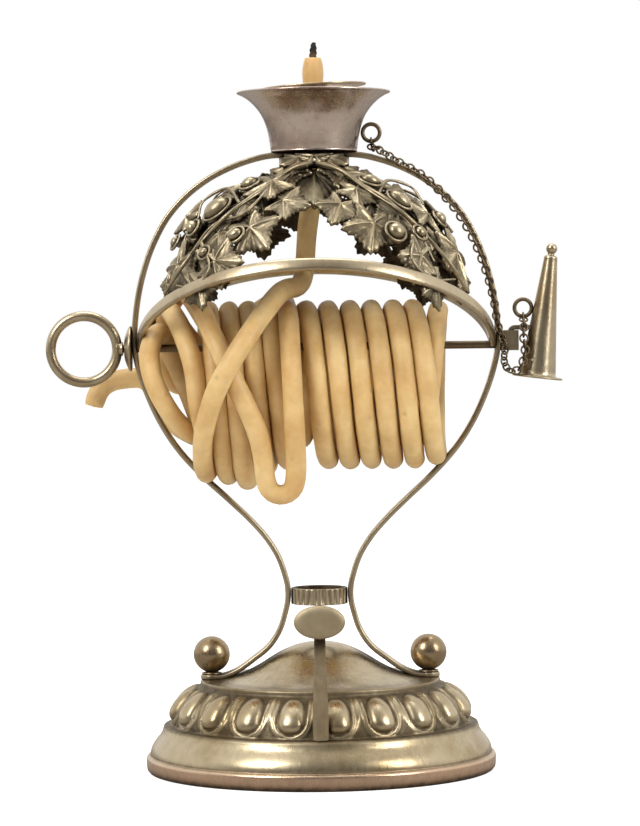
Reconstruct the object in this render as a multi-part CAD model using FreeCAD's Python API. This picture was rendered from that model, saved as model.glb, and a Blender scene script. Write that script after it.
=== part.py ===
import FreeCAD, Part
import math
import os

V = FreeCAD.Vector

# Wax jack of plated metal. Origin at the middle of the foot's underside, X to the right
# along the spindle, Y to the back, Z up. Sizes are in millimetres.

# Foot
foot_radius = 38.2
rim_bulge = 0.3
rim_height = 3.7
ogee_radius = 34.7
ogee_height = 8.7
ledge_radius = 34.4
ledge_height = 10.3
band_radius = 32.9
band_bulge = 1.7
land_radius = 26.4
band_end_height = 19.2
land_height = 19.9
flare_radius = 20.0
flare_middle_radius = 15.0
flare_middle_height = 21.2
dome_radius = 11.4
dome_edge_height = 23.6
dome_height = 28.0
foot_wall = 0.9
lobe_count = 20
lobe_phase = 6.5
lobe_radius = 3.1
lobe_height = 1.1
lobe_length = 10.6
lobe_sides = 8

# Straps
strap_thickness = 1.2
strap_width = 4.8
strap_foot_x = 23.9
waist_half_width = 6.85
waist_height = 38.2
globe_half_width = 39.9
flare_share = 0.38
pivot_height = 93.0
shoulder_x = 28.4
shoulder_height = 126.0
pan_seat_height = 135.7

# Ball screws and nuts
ball_radius = 4.0
ball_neck_radius = 1.45
ball_neck_height = 0.35
screw_clearance = 0.1
nut_corner_radius = 2.3
nut_height = 1.8
screw_tip = 0.8

# Waist ring
ring_height = 3.5
ring_wall = 1.0
reed_count = 20
reed_depth = 0.35

# Front and rear arches
arch_tilt = 27.0
arch_thickness = 1.0
arch_width = 2.8
arch_end_gap = 1.6

# Garlands
stem_radius = 0.8
garland_foot_x = 33.0
garland_depth = 0.7
leaf_thickness = 0.7
leaf_radius = 5.8
leaf_points = 20
vein_width = 0.9
vein_height = 0.6
vein_share = 0.8
rosette_radius = 7.8
grape_radius = 1.9

# Right half of a garland, as shares of the globe: across, up, heading in degrees, share of the leaf's radius
leaf_places = ((0.777, 0.476, -75, 1.30), (0.570, 0.463, -120, 1.06), (0.332, 0.634, -105, 1.13),
               (0.668, 0.622, 50, 1.0), (0.500, 0.805, 35, 0.95), (0.479, 0.646, -160, 1.0),
               (0.249, 0.888, 15, 1.03), (0.161, 0.751, -110, 0.93), (0.648, 0.36, -15, 0.75))

# Grapes of the same half: across, up, share of the grape's radius
grape_places = ((0.518, 0.746, 1.2), (0.337, 0.878, 1.0), (0.446, 0.598, 0.95), (0.70, 0.663, 0.75))

# Pan, nozzle and nut
pan_rim_radius = 16.7
pan_rim_height = 148.5
pan_throat_radius = 11.3
pan_throat_height = 143.2
pan_floor_radius = 9.3
pan_wall = 0.7
taper_radius = 2.05
taper_clearance = 0.3
nozzle_wall = 0.9
nozzle_top = 149.4
nozzle_flange_radius = 5.4
nozzle_flange_height = 0.8
collar_radius = 7.7
collar_height = 2.6
collar_clearance = 0.05

# Drip disc
disc_radius = 11.65
disc_thickness = 0.5
disc_tilt = 3.0
disc_gap = 0.1

# Eyes and chain
eye_outer_radius = 2.3
eye_wire_radius = 0.42
pan_eye_height = 139.8
link_inner_radius = 0.78
link_outer_radius = 1.16
link_wire = 0.38
link_pitch = 1.25
link_sides = 6
chain_stand_off = -0.6
chain_side_gap = 0.4
chain_top_clear = 8.0
chain_samples = 90
chain_step = 4

# Extinguisher, hook and socket
cone_offset = 8.0
cone_drop = 7.5
cone_lean = 7.0
cone_base_radius = 4.0
cone_tip_radius = 1.45
cone_length = 27.0
cone_wall = 0.35
cone_flange_radius = 5.6
cone_flange_thickness = 0.5
bead_radius = 1.25
bead_neck = 0.9
eye_on_cone = 15.0
hook_thickness = 1.0
hook_width = 2.4
hook_bend_radius = 1.0
hook_leg = 4.0
socket_length = 3.9
socket_width = 4.4
socket_height = 4.4
socket_drop = 1.3
socket_web = 1.5
hook_play = 0.2
hook_seat_gap = 0.1

# Spindle, washer and ring handle
spindle_radius = 0.85
spindle_play = 0.08
spindle_tip_depth = 0.9
washer_radius = 5.0
washer_thickness = 1.7
washer_gap = 0.1
handle_ring_radius = 7.3
handle_wire_radius = 1.1
handle_boss_radius = 1.6
handle_boss_length = 1.5

# Front scroll handle and thumb button
scroll_thickness = 1.1
scroll_width = 3.0
scroll_reach = 42.5
scroll_top = 35.9
button_half_width = 5.35
button_half_height = 3.5
button_thickness = 2.2

# Taper: inner winding, outer winding, riser, tail and wick
cord_sides = 6
layer_gap = 0.7
coil_spindle_gap = 0.3
inner_coil_radius = 11.65
inner_coil_start = -22.3
inner_coil_pitch = 7.45
inner_coil_turns = 6
climb_step = 4.4
outer_coil_start = 24.6
outer_coil_pitch = 4.72
outer_regular_turns = 6
loose_coil_pitch = 4.95
loose_coil_turns = 4
loose_sag = 7.0
taper_top = 156.4
wick_radius = 0.75
wick_top = 159.9
wick_socket = 3.0


def arc_middle(start, tangent, end):
    """Middle of the arc that leaves start along tangent and reaches end."""
    chord = end - start
    bisector = tangent + chord * (1.0 / chord.Length)
    return start + bisector * (chord.Length / bisector.dot(bisector))


def arc_exit(start, tangent, end):
    """Direction in which that arc reaches its end."""
    chord = end - start
    return chord * (2.0 * chord.dot(tangent) / chord.dot(chord)) - tangent


def biarc(start, start_way, end, end_way):
    """Two tangent arcs from one point and direction to another, each as (start, way, end)."""
    gap = end - start
    spread = 1.0 - start_way.dot(end_way)
    along = gap.dot(start_way + end_way)
    if spread < 1e-9:
        reach = gap.dot(gap) / (4.0 * gap.dot(end_way))
    else:
        reach = (math.sqrt(along ** 2 + 2.0 * spread * gap.dot(gap)) - along) / (2.0 * spread)
    joint = (start + start_way * reach + end - end_way * reach) * 0.5
    return [(start, start_way, joint), (joint, arc_exit(start, start_way, joint), end)]


def smooth_arcs(stations):
    """Tangent arcs through stations, each a point and a unit direction."""
    arcs = []
    for (start, start_way), (end, end_way) in zip(stations, stations[1:]):
        arcs += biarc(start, start_way, end, end_way)
    return arcs


def curve(start, middle, end):
    """Edge from start through middle to end, straight where they are in line."""
    if (middle - start).cross(end - start).Length < 1e-6 * (end - start).Length:
        return Part.makeLine(start, end)
    return Part.Arc(start, middle, end).toShape()


def arc_edges(arcs):
    return [curve(start, arc_middle(start, way, end), end) for start, way, end in arcs]


def tightest_radius(edges):
    return min([edge.Curve.Radius for edge in edges if hasattr(edge.Curve, "Radius")])


def flat_station(across, height, degrees):
    """Point and direction in the XZ plane."""
    angle = math.radians(degrees)
    return V(across, 0, height), V(math.cos(angle), 0, math.sin(angle))


def band(arcs, side, thickness, width):
    """Flat strip along arcs in the plane square to side, with its width along side."""
    left = []
    right = []
    for start, way, end in arcs:
        mid_way = (end - start).normalize()
        end_way = arc_exit(start, way, end)
        middle = arc_middle(start, way, end)
        places = [(start, way), (middle, mid_way), (end, end_way)]
        left.append([point + side.cross(along) * (thickness / 2) for point, along in places])
        right.append([point - side.cross(along) * (thickness / 2) for point, along in places])
    edges = [curve(*points) for points in left]
    edges.append(Part.makeLine(left[-1][2], right[-1][2]))
    edges += [curve(c, b, a) for a, b, c in reversed(right)]
    edges.append(Part.makeLine(right[0][0], left[0][0]))
    face = Part.Face(Part.Wire(edges))
    face.translate(side * (-width / 2))
    return face.extrude(side * width)


def revolved(edges):
    """Solid turned about Z from a closed outline in the XZ plane."""
    return Part.Face(Part.Wire(edges)).revolve(V(0, 0, 0), V(0, 0, 1), 360)


def outline(points):
    """Closed run of straight edges through (radius, height) pairs."""
    corners = [V(radius, 0, height) for radius, height in points]
    return list(Part.makePolygon(corners + corners[:1]).Edges)


def ring(centre, axis, radius, wire_radius, sides):
    """Closed ring of round wire, drawn with a polygon section."""
    across = axis.cross(V(0, 0, 1)) if abs(axis.z) < 0.9 else V(1, 0, 0)
    across.normalize()
    corners = []
    for number in range(sides):
        angle = 2 * math.pi * (number + 0.5) / sides
        offset = across * (radius + wire_radius * math.cos(angle)) + axis * (wire_radius * math.sin(angle))
        corners.append(centre + offset)
    section = Part.Face(Part.makePolygon(corners + corners[:1]))
    return section.revolve(centre, axis, 360)


def polygon_section(point, way, radius, sides):
    """Closed polygon of a rod's section at a point of its path."""
    across = way.cross(V(0.12, 0.07, 0.99)).normalize()
    along = way.cross(across)
    corners = []
    for number in range(sides):
        angle = 2 * math.pi * number / sides
        corners.append(point + across * (radius * math.cos(angle)) + along * (radius * math.sin(angle)))
    return Part.makePolygon(corners + corners[:1])


def mirrored_x(shape):
    return shape.mirror(V(0, 0, 0), V(1, 0, 0))


def mirrored_y(shape):
    return shape.mirror(V(0, 0, 0), V(0, 1, 0))


strap_inner_x = globe_half_width - strap_thickness / 2
strap_outer_x = globe_half_width + strap_thickness / 2
strap_foot_z = land_height + strap_thickness / 2
crown_z = pan_seat_height - strap_thickness / 2
collar_top = pan_seat_height - strap_thickness
nozzle_radius = taper_radius + taper_clearance + nozzle_wall
pivot = V(0, 0, pivot_height)
cone_base_x = strap_outer_x + cone_offset
cone_base_height = pivot_height - cone_drop
coil_z = pivot_height + spindle_radius + coil_spindle_gap - (inner_coil_radius - taper_radius)
outer_coil_radius = inner_coil_radius + 2 * taper_radius + layer_gap


def foot_outside():
    """Solid of the foot's outside: rim, ogee, egg band, land, flare and dome."""
    rim = V(foot_radius, 0, 0)
    rim_top = V(foot_radius + rim_bulge, 0, rim_height)
    ogee = V(ogee_radius, 0, ogee_height)
    ogee_middle = (rim_top + ogee) * 0.5 + V(0.8, 0, 0.35)
    ledge = V(ledge_radius, 0, ledge_height)
    band_low = V(band_radius, 0, ledge_height)
    band_high = V(land_radius, 0, band_end_height)
    band_middle = (band_low + band_high) * 0.5 + V(0.8, 0, 0.6) * band_bulge
    land_edge = V(land_radius, 0, land_height)
    flare = V(flare_radius, 0, land_height)
    flare_middle = V(flare_middle_radius, 0, flare_middle_height)
    dome_edge = V(dome_radius, 0, dome_edge_height)
    top = V(0, 0, dome_height)
    rise = dome_height - dome_edge_height
    cap_radius = (dome_radius ** 2 + rise ** 2) / (2 * rise)
    half_angle = 0.5 * math.asin(dome_radius / cap_radius)
    dome_middle = top + V(cap_radius * math.sin(half_angle), 0, cap_radius * (math.cos(half_angle) - 1))
    edges = [Part.makeLine(V(0, 0, 0), rim), Part.makeLine(rim, rim_top)]
    edges += [curve(rim_top, ogee_middle, ogee), Part.makeLine(ogee, ledge), Part.makeLine(ledge, band_low)]
    edges += [curve(band_low, band_middle, band_high), Part.makeLine(band_high, land_edge)]
    edges += [Part.makeLine(land_edge, flare), Part.makeLine(flare, flare_middle)]
    edges += [Part.makeLine(flare_middle, dome_edge), curve(dome_edge, dome_middle, top)]
    edges.append(Part.makeLine(top, V(0, 0, 0)))
    return revolved(edges)


def foot_hollow():
    """Space under the stamped foot, its slopes about one wall inside the outside."""
    wall = foot_wall
    points = [(0, -wall), (foot_radius - wall, -wall), (foot_radius - wall, rim_height),
              (band_radius - 2 * wall, ledge_height), (land_radius + wall, land_height - 3 * wall),
              (land_radius - wall / 3, land_height - wall),
              (flare_radius - 4 * wall, land_height - wall), (dome_radius - wall, dome_edge_height - 2 * wall),
              (0, dome_height - 2 * wall)]
    return revolved(outline(points))


def egg_lobe():
    """Raised eight sided egg lying on the sloping band at azimuth 0, its fuller end low."""
    low = V(band_radius, 0, ledge_height)
    high = V(land_radius, 0, band_end_height)
    slope = (high - low).normalize()
    outward = V(slope.z, 0, -slope.x)
    crest = (low + high) * 0.5 + outward * (band_bulge + lobe_height - lobe_radius)
    across = V(0, 1, 0)
    levels = []
    for share, place in ((0.25, -0.5), (0.86, -0.3), (1.0, -0.08), (0.72, 0.25), (0.15, 0.5)):
        corners = []
        for number in range(lobe_sides):
            angle = 2 * math.pi * (number + 0.5) / lobe_sides
            offset = across * math.cos(angle) + outward * math.sin(angle)
            corners.append(crest + slope * (place * lobe_length) + offset * (share * lobe_radius))
        levels.append(Part.makePolygon(corners + corners[:1]))
    return Part.makeLoft(levels, True, True)


def base_shell():
    lobes = []
    for number in range(lobe_count):
        lobe = egg_lobe()
        lobe.rotate(V(0, 0, 0), V(0, 0, 1), -90 + lobe_phase + 360.0 * number / lobe_count)
        lobes.append(lobe)
    shell = foot_outside().fuse(lobes).cut(foot_hollow())
    for side in (-1, 1):
        hole = Part.makeCylinder(ball_neck_radius + screw_clearance, 4 * foot_wall,
                                 V(side * strap_foot_x, 0, land_height - 3 * foot_wall))
        shell = shell.cut(hole)
    return shell


def strap_arcs():
    """Centre line of the right strap, from its foot pad up to the crown under the pan."""
    stations = [
        flat_station(strap_foot_x - 2.0, strap_foot_z, 180),
        flat_station(1.7 * waist_half_width, strap_foot_z + 6.1, 135),
        flat_station(waist_half_width, waist_height, 90),
        flat_station(waist_half_width + 1.95, waist_height + 8.6, 60),
        flat_station(globe_half_width / 2, waist_height + flare_share * (pivot_height - waist_height), 43),
        flat_station(globe_half_width, pivot_height, 90),
        flat_station(shoulder_x, shoulder_height, 138),
        flat_station(collar_radius + 0.8, crown_z, 180),
    ]
    foot = [(V(strap_foot_x, 0, strap_foot_z), V(-1, 0, 0), stations[0][0])]
    crown = [(stations[-1][0], V(-1, 0, 0), V(nozzle_radius + collar_clearance, 0, crown_z))]
    return foot + smooth_arcs(stations) + crown


def strap_right():
    strap = band(strap_arcs(), V(0, 1, 0), strap_thickness, strap_width)
    pad = Part.makeCylinder(strap_width / 2, strap_thickness, V(strap_foot_x, 0, land_height))
    strap = strap.fuse(pad).removeSplitter()
    hole = Part.makeCylinder(ball_neck_radius + screw_clearance, 3 * strap_thickness,
                             V(strap_foot_x, 0, land_height - strap_thickness))
    bearing = Part.makeCylinder(spindle_radius + spindle_play, 2 * strap_thickness,
                                V(globe_half_width - strap_thickness, 0, pivot_height), V(1, 0, 0))
    return strap.cut(hole).cut(bearing)


def ball_screw():
    """Ball head, neck and shank that clamp the right strap to the foot."""
    seat = land_height + strap_thickness
    ball_z = seat + ball_neck_height + ball_radius
    shank_bottom = land_height - foot_wall - nut_height - screw_tip
    ball = Part.makeSphere(ball_radius, V(strap_foot_x, 0, ball_z))
    shank = Part.makeCylinder(ball_neck_radius, ball_z - shank_bottom, V(strap_foot_x, 0, shank_bottom))
    shoulder = Part.makeCylinder(1.5 * ball_neck_radius, 3 * ball_neck_height, V(strap_foot_x, 0, seat))
    return ball.fuse([shank, shoulder])


def foot_nut():
    corners = []
    for number in range(6):
        angle = math.radians(60 * number + 30)
        corners.append(V(strap_foot_x + nut_corner_radius * math.cos(angle), nut_corner_radius * math.sin(angle),
                         land_height - foot_wall - nut_height))
    nut = Part.Face(Part.makePolygon(corners + corners[:1])).extrude(V(0, 0, nut_height))
    bore = Part.makeCylinder(ball_neck_radius + screw_clearance, 3 * nut_height,
                             V(strap_foot_x, 0, land_height - foot_wall - 2 * nut_height))
    return nut.cut(bore)


def waist_ring():
    """Open ring between the straps, with reeds round its outside."""
    outer = waist_half_width - strap_thickness / 2
    bottom = waist_height - ring_height / 2
    corners = []
    for number in range(2 * reed_count):
        angle = math.pi * number / reed_count
        radius = outer - reed_depth * (number % 2)
        corners.append(V(radius * math.cos(angle), radius * math.sin(angle), bottom))
    reeded = Part.Face(Part.makePolygon(corners + corners[:1])).extrude(V(0, 0, ring_height))
    return reeded.cut(Part.makeCylinder(outer - ring_wall, 3 * ring_height, V(0, 0, bottom - ring_height)))


def arch_point(degrees):
    """Centre of the front arch's band, at an angle round from the right pivot."""
    tilt = math.radians(arch_tilt)
    angle = math.radians(degrees)
    radius = strap_inner_x - arch_thickness / 2
    rise = V(0, -math.cos(tilt), math.sin(tilt))
    return pivot + V(1, 0, 0) * (radius * math.cos(angle)) + rise * (radius * math.sin(angle))


def arch_normal():
    tilt = math.radians(arch_tilt)
    return V(0, math.sin(tilt), math.cos(tilt))


def arch_front():
    """Half ring from pivot to pivot, leaning out over the front."""
    start_angle = math.degrees(math.asin(arch_end_gap / strap_inner_x))
    inner = strap_inner_x - arch_thickness
    half = arch_width / 2
    corners = [V(inner, 0, -half), V(strap_inner_x, 0, -half), V(strap_inner_x, 0, half), V(inner, 0, half)]
    section = Part.Face(Part.makePolygon(corners + corners[:1]))
    section.rotate(V(0, 0, 0), V(0, 0, 1), -start_angle)
    arch = section.revolve(V(0, 0, 0), V(0, 0, -1), 180 - 2 * start_angle)
    arch.rotate(V(0, 0, 0), V(1, 0, 0), -arch_tilt)
    arch.translate(pivot)
    return arch


def globe_point(across, up):
    """Point on the front of the globe that the garland follows, at shares of its width and rise."""
    radius = strap_inner_x - garland_depth
    rise = collar_top - garland_depth - pivot_height
    return V(radius * across, -radius * math.sqrt(1 - across ** 2 - up ** 2), pivot_height + rise * up)


def globe_normal(point):
    return (point - pivot).normalize()


def vein(start, way, normal, length):
    """Ridge of triangular section along a leaf."""
    side = way.cross(normal) * (vein_width / 2)
    section = Part.makePolygon([start - side, start + side, start + normal * vein_height, start - side])
    return Part.Face(section).extrude(way * length)


def vine_leaf(centre, normal, heading, size):
    """Thin vine leaf with five pointed lobes and a vein along each, lying square to normal."""
    across = normal.cross(heading).normalize()
    ahead = across.cross(normal)
    corners = []
    for number in range(leaf_points):
        angle = 2 * math.pi * number / leaf_points
        reach = size * (0.76 + 0.24 * math.cos(5 * angle)) * (1 + 0.16 * math.cos(angle))
        corners.append(centre + ahead * (reach * math.cos(angle)) + across * (reach * math.sin(angle)))
    face = Part.Face(Part.makePolygon(corners + corners[:1]))
    pieces = [face.extrude(normal * leaf_thickness)]
    root = centre + normal * (leaf_thickness - 0.25 * vein_height)
    for number in range(5):
        angle = 2 * math.pi * number / 5
        way = ahead * math.cos(angle) + across * math.sin(angle)
        pieces.append(vein(root, way, normal, vein_share * size * (1 + 0.16 * math.cos(angle))))
    return pieces


def grape(centre, normal, size):
    """Faceted oval grape that stands on the leaves."""
    across = normal.cross(V(0.3, 0.1, 1)).normalize()
    along = normal.cross(across)
    levels = []
    for height, share in ((-0.2, 0.8), (0.3, 1.0), (0.8, 0.85), (1.15, 0.4)):
        corners = []
        for number in range(8):
            angle = math.radians(45 * number)
            offset = across * (share * size * math.cos(angle)) + along * (0.8 * share * size * math.sin(angle))
            corners.append(centre + normal * (height * size) + offset)
        levels.append(Part.makePolygon(corners + corners[:1]))
    return Part.makeLoft(levels, True, True)


def garland_stem():
    """Arcs of the front garland's stem from its right foot, over the crown, to its left foot."""
    angle = math.degrees(math.acos(garland_foot_x / (strap_inner_x - arch_thickness / 2)))
    foot = arch_point(angle) + arch_normal() * (arch_width / 2 + stem_radius)
    bend = globe_point(0.52, 0.69)
    crown = V(0, -(collar_radius + stem_radius), collar_top - collar_height / 2)
    stations = [(foot, (bend - foot).normalize()), (bend, (crown - foot).normalize()), (crown, V(-1, 0, 0))]
    for point, way in reversed(stations[:-1]):
        stations.append((V(-point.x, point.y, point.z), V(way.x, -way.y, -way.z)))
    return arc_edges(smooth_arcs(stations))


def half_garland():
    """Leaves and grapes to the right of the crown."""
    pieces = []
    for across, up, heading, share in leaf_places:
        point = globe_point(across, up)
        angle = math.radians(heading)
        pieces += vine_leaf(point, globe_normal(point), V(math.cos(angle), 0, math.sin(angle)), share * leaf_radius)
    for across, up, share in grape_places:
        point = globe_point(across, up)
        pieces.append(grape(point + globe_normal(point) * leaf_thickness, globe_normal(point), share * grape_radius))
    return pieces


def garland_front():
    """Cast vine: a stem from arch to arch under the pan, with leaves and grapes along it."""
    edges = garland_stem()
    start = edges[0].valueAt(edges[0].FirstParameter)
    section = polygon_section(start, edges[0].tangentAt(edges[0].FirstParameter), stem_radius, 6)
    stem = Part.Wire(edges).makePipeShell([section], True, False)
    right = half_garland()
    left = [mirrored_x(piece) for piece in right]
    crown = V(0, -(collar_radius + stem_radius), collar_top - collar_height / 2)
    face_way = V(0, -0.8, 0.6)
    downward = V(0, -0.6, -0.8)
    heart = crown + downward * (0.5 * rosette_radius) - face_way * (0.5 * leaf_thickness)
    rosette = vine_leaf(heart, face_way, downward, rosette_radius)
    seated = stem.fuse(right + left + rosette).cut([arch_front(), ring_nut()])
    return max(seated.Solids, key=lambda solid: solid.Volume)


def drip_pan():
    """Trumpet shaped pan with a hole in its floor for the nozzle."""
    floor = pan_seat_height
    outer_low = V(pan_floor_radius, 0, floor)
    outer_mid = V(pan_throat_radius, 0, pan_throat_height)
    outer_top = V(pan_rim_radius, 0, pan_rim_height)
    low_bulge = (outer_low + outer_mid) * 0.5 - V(0.25, 0, 0)
    high_bulge = (outer_mid + outer_top) * 0.5 + V(-0.75, 0, 0.6)
    shift = V(-pan_wall, 0, 0.3 * pan_wall)
    inner_low = V(pan_floor_radius - pan_wall, 0, floor + pan_wall)
    inner_mid = outer_mid + shift
    inner_top = V(pan_rim_radius - 1.2 * pan_wall, 0, pan_rim_height)
    hole = nozzle_radius + collar_clearance
    edges = [curve(outer_low, low_bulge, outer_mid), curve(outer_mid, high_bulge, outer_top)]
    edges.append(Part.makeLine(outer_top, inner_top))
    edges.append(curve(inner_top, high_bulge + shift, inner_mid))
    edges.append(curve(inner_mid, low_bulge + shift, inner_low))
    edges.append(Part.makeLine(inner_low, V(hole, 0, floor + pan_wall)))
    edges.append(Part.makeLine(V(hole, 0, floor + pan_wall), V(hole, 0, floor)))
    edges.append(Part.makeLine(V(hole, 0, floor), outer_low))
    return revolved(edges)


def nozzle():
    """Tube that guides the taper, with the flange that holds the pan down."""
    bore = taper_radius + taper_clearance
    bottom = collar_top - collar_height
    flange = pan_seat_height + pan_wall
    flange_top = flange + nozzle_flange_height
    points = [(bore, bottom), (nozzle_radius, bottom), (nozzle_radius, flange), (nozzle_flange_radius, flange),
              (nozzle_flange_radius, flange_top), (nozzle_radius, flange_top), (nozzle_radius, nozzle_top),
              (bore, nozzle_top)]
    return revolved(outline(points))


def ring_nut():
    """Round nut that clamps the strap ends and the pan on the nozzle."""
    inner = nozzle_radius + collar_clearance
    bottom = collar_top - collar_height
    edge = 0.25 * collar_height
    points = [(inner, bottom), (collar_radius - edge, bottom), (collar_radius, bottom + edge),
              (collar_radius, collar_top), (inner, collar_top)]
    return revolved(outline(points))


def pan_wall_radius(height):
    """Outer radius of the pan's lower wall at a height, by the straight line between its ends."""
    share = (height - pan_seat_height) / (pan_throat_height - pan_seat_height)
    return pan_floor_radius + share * (pan_throat_radius - pan_floor_radius)


def pan_eye_centre():
    return V(pan_wall_radius(pan_eye_height) + eye_outer_radius - 0.1, 0, pan_eye_height)


def pan_eye():
    return ring(pan_eye_centre(), V(0, 1, 0), eye_outer_radius - eye_wire_radius, eye_wire_radius, 6)


def drip_disc():
    """Loose flat disc with a hole for the taper, tipped where it rests on the nozzle."""
    disc = Part.makeCylinder(disc_radius, disc_thickness)
    hole = Part.makeCylinder(taper_radius + 2 * taper_clearance, 3 * disc_thickness, V(0, 0, -disc_thickness))
    disc = disc.cut(hole)
    disc.rotate(V(0, 0, 0), V(0, 1, 0), -disc_tilt)
    rise = nozzle_radius * math.sin(math.radians(disc_tilt))
    disc.translate(V(0, 0, nozzle_top + rise + disc_gap))
    return disc


def cone_point(radius, height):
    """Point of the leaning extinguisher, from its radius to the left and its height on the axis."""
    lean = math.radians(cone_lean)
    up = V(math.sin(lean), 0, math.cos(lean))
    right = V(math.cos(lean), 0, -math.sin(lean))
    return V(cone_base_x, 0, cone_base_height) + up * height - right * radius


def placed_on_cone(shape):
    shape.rotate(V(0, 0, 0), V(0, 1, 0), cone_lean)
    shape.translate(V(cone_base_x, 0, cone_base_height))
    return shape


def extinguisher():
    """Hollow cone with a flange at its mouth and a bead on its tip."""
    flange_top = cone_flange_thickness
    head = cone_length + bead_neck + bead_radius
    outer = [V(cone_base_radius - cone_wall, 0, 0), V(cone_flange_radius, 0, 0), V(cone_flange_radius, 0, flange_top),
             V(cone_base_radius, 0, flange_top), V(cone_tip_radius, 0, cone_length)]
    neck = [V(0.6 * bead_radius, 0, cone_length), V(0.6 * bead_radius, 0, head - 0.8 * bead_radius)]
    bead = [V(bead_radius, 0, head - 0.3 * bead_radius), V(bead_radius, 0, head + 0.3 * bead_radius),
            V(0.6 * bead_radius, 0, head + 0.8 * bead_radius), V(0, 0, head + bead_radius)]
    inner = [V(0, 0, cone_length - 4 * cone_wall), V(cone_tip_radius - cone_wall, 0, cone_length - 4 * cone_wall)]
    edges = list(Part.makePolygon(outer + neck + bead + inner + outer[:1]).Edges)
    return placed_on_cone(revolved(edges))


def cone_radius(height):
    return cone_base_radius + (cone_tip_radius - cone_base_radius) * height / cone_length


def extinguisher_eye_centre():
    return cone_point(cone_radius(eye_on_cone) + eye_outer_radius - 0.05, eye_on_cone)


def extinguisher_eye():
    return ring(extinguisher_eye_centre(), V(0, 1, 0), eye_outer_radius - eye_wire_radius, eye_wire_radius, 6)


socket_top = pivot_height - socket_drop + socket_height
hook_x = strap_outer_x + socket_web + hook_play + hook_thickness / 2


def hook_socket():
    """Block on the right strap that takes the spindle's tip and the extinguisher's hook."""
    block = Part.makeBox(socket_length, socket_width, socket_height,
                         V(strap_outer_x, -socket_width / 2, pivot_height - socket_drop))
    bore = Part.makeCylinder(spindle_radius + spindle_play, spindle_tip_depth + spindle_play,
                             V(strap_outer_x, 0, pivot_height), V(1, 0, 0))
    slot = Part.makeBox(hook_thickness + 2 * hook_play, hook_width + 2 * hook_play, 3 * socket_height,
                        V(strap_outer_x + socket_web, -hook_width / 2 - hook_play, pivot_height - socket_height))
    return block.cut(bore).cut(slot)


def extinguisher_hook():
    """Tab from the cone's wall that turns down into the socket."""
    tab_z = socket_top + hook_seat_gap + hook_thickness / 2
    corner = hook_bend_radius
    wall = V(cone_base_x, 0, tab_z)
    bend_start = V(hook_x + corner, 0, tab_z)
    bend_end = V(hook_x, 0, tab_z - corner)
    tip = V(hook_x, 0, tab_z - hook_leg)
    arcs = [(wall, V(-1, 0, 0), bend_start), (bend_start, V(-1, 0, 0), bend_end), (bend_end, V(0, 0, -1), tip)]
    hook = band(arcs, V(0, 1, 0), hook_thickness, hook_width)
    inside = placed_on_cone(Part.makeCone(cone_base_radius - cone_wall, cone_tip_radius - cone_wall, cone_length))
    return hook.cut([extinguisher(), inside])


def chain_route():
    """Line that the chain hangs along, from the pan's eye to the extinguisher's eye."""
    top = pan_eye_centre() - V(0, 0, eye_outer_radius - eye_wire_radius + 0.2)
    end = extinguisher_eye_centre() - V(0, 0.17, eye_outer_radius - eye_wire_radius + 0.1)
    beside = -(strap_width / 2 + link_outer_radius + chain_side_gap)
    strap_edge = Part.Wire(arc_edges(strap_arcs()))
    upper = [point for point in strap_edge.discretize(chain_samples) if point.z > pivot_height + chain_top_clear]
    inward = [point for point in reversed(upper) if point.x > pan_rim_radius]
    points = [top, top - V(0, 0, 1.0), top + V(1.3, -2.9, -1.3)]
    for point in inward[1::chain_step]:
        away = (point - pivot).normalize()
        points.append(point + away * chain_stand_off + V(0, beside, 0))
    side_x = strap_outer_x
    points += [
        V(side_x - 0.9, beside - 0.3, pivot_height + 4.6),
        V(side_x + 0.7, beside - 0.3, pivot_height - 0.5),
        V(side_x + 0.5, beside - 0.3, pivot_height - 3.4),
        V(side_x + 1.6, beside - 0.6, pivot_height - 5.6),
        V(side_x + 3.9, beside - 0.9, pivot_height - 5.3),
        V(side_x + 5.1, beside - 0.4, pivot_height - 1.8),
        V(side_x + 4.9, beside, pivot_height + 1.6),
        end + V(0, -2.6, -1.6),
        end,
    ]
    return Part.makePolygon(points)


def rounded_route(points, share):
    """Straight runs joined by tangent arcs, each taking a share of the shorter run beside it."""
    edges = []
    last = points[0]
    for before, corner, after in zip(points, points[1:], points[2:]):
        back = before - corner
        ahead = after - corner
        reach = share * min(back.Length, ahead.Length)
        start = corner + back.normalize() * reach
        end = corner + ahead.normalize() * reach
        edges.append(Part.makeLine(last, start))
        edges.append(curve(start, arc_middle(start, (corner - start).normalize(), end), end))
        last = end
    edges.append(Part.makeLine(last, points[-1]))
    return edges


def chain_frames(points):
    """Way along the chain at each point and a direction across it, carried without twist."""
    frames = []
    across = V(1, 0, 0)
    for number in range(len(points)):
        before = points[max(number - 1, 0)]
        after = points[min(number + 1, len(points) - 1)]
        way = (after - before).normalize()
        across = (across - way * across.dot(way)).normalize()
        frames.append((way, across))
    return frames


def chain_link(centre, way, axis):
    """Flat polygon link lying square to its axis."""
    side = axis.cross(way)
    rims = []
    for radius in (link_outer_radius, link_inner_radius):
        corners = []
        for number in range(link_sides):
            angle = 2 * math.pi * number / link_sides
            offset = way * (radius * math.cos(angle)) + side * (radius * math.sin(angle))
            corners.append(centre + offset - axis * (link_wire / 2))
        rims.append(Part.makePolygon(corners + corners[:1]))
    return Part.Face(rims[0]).cut(Part.Face(rims[1])).extrude(axis * link_wire).Solids[0]


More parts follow.
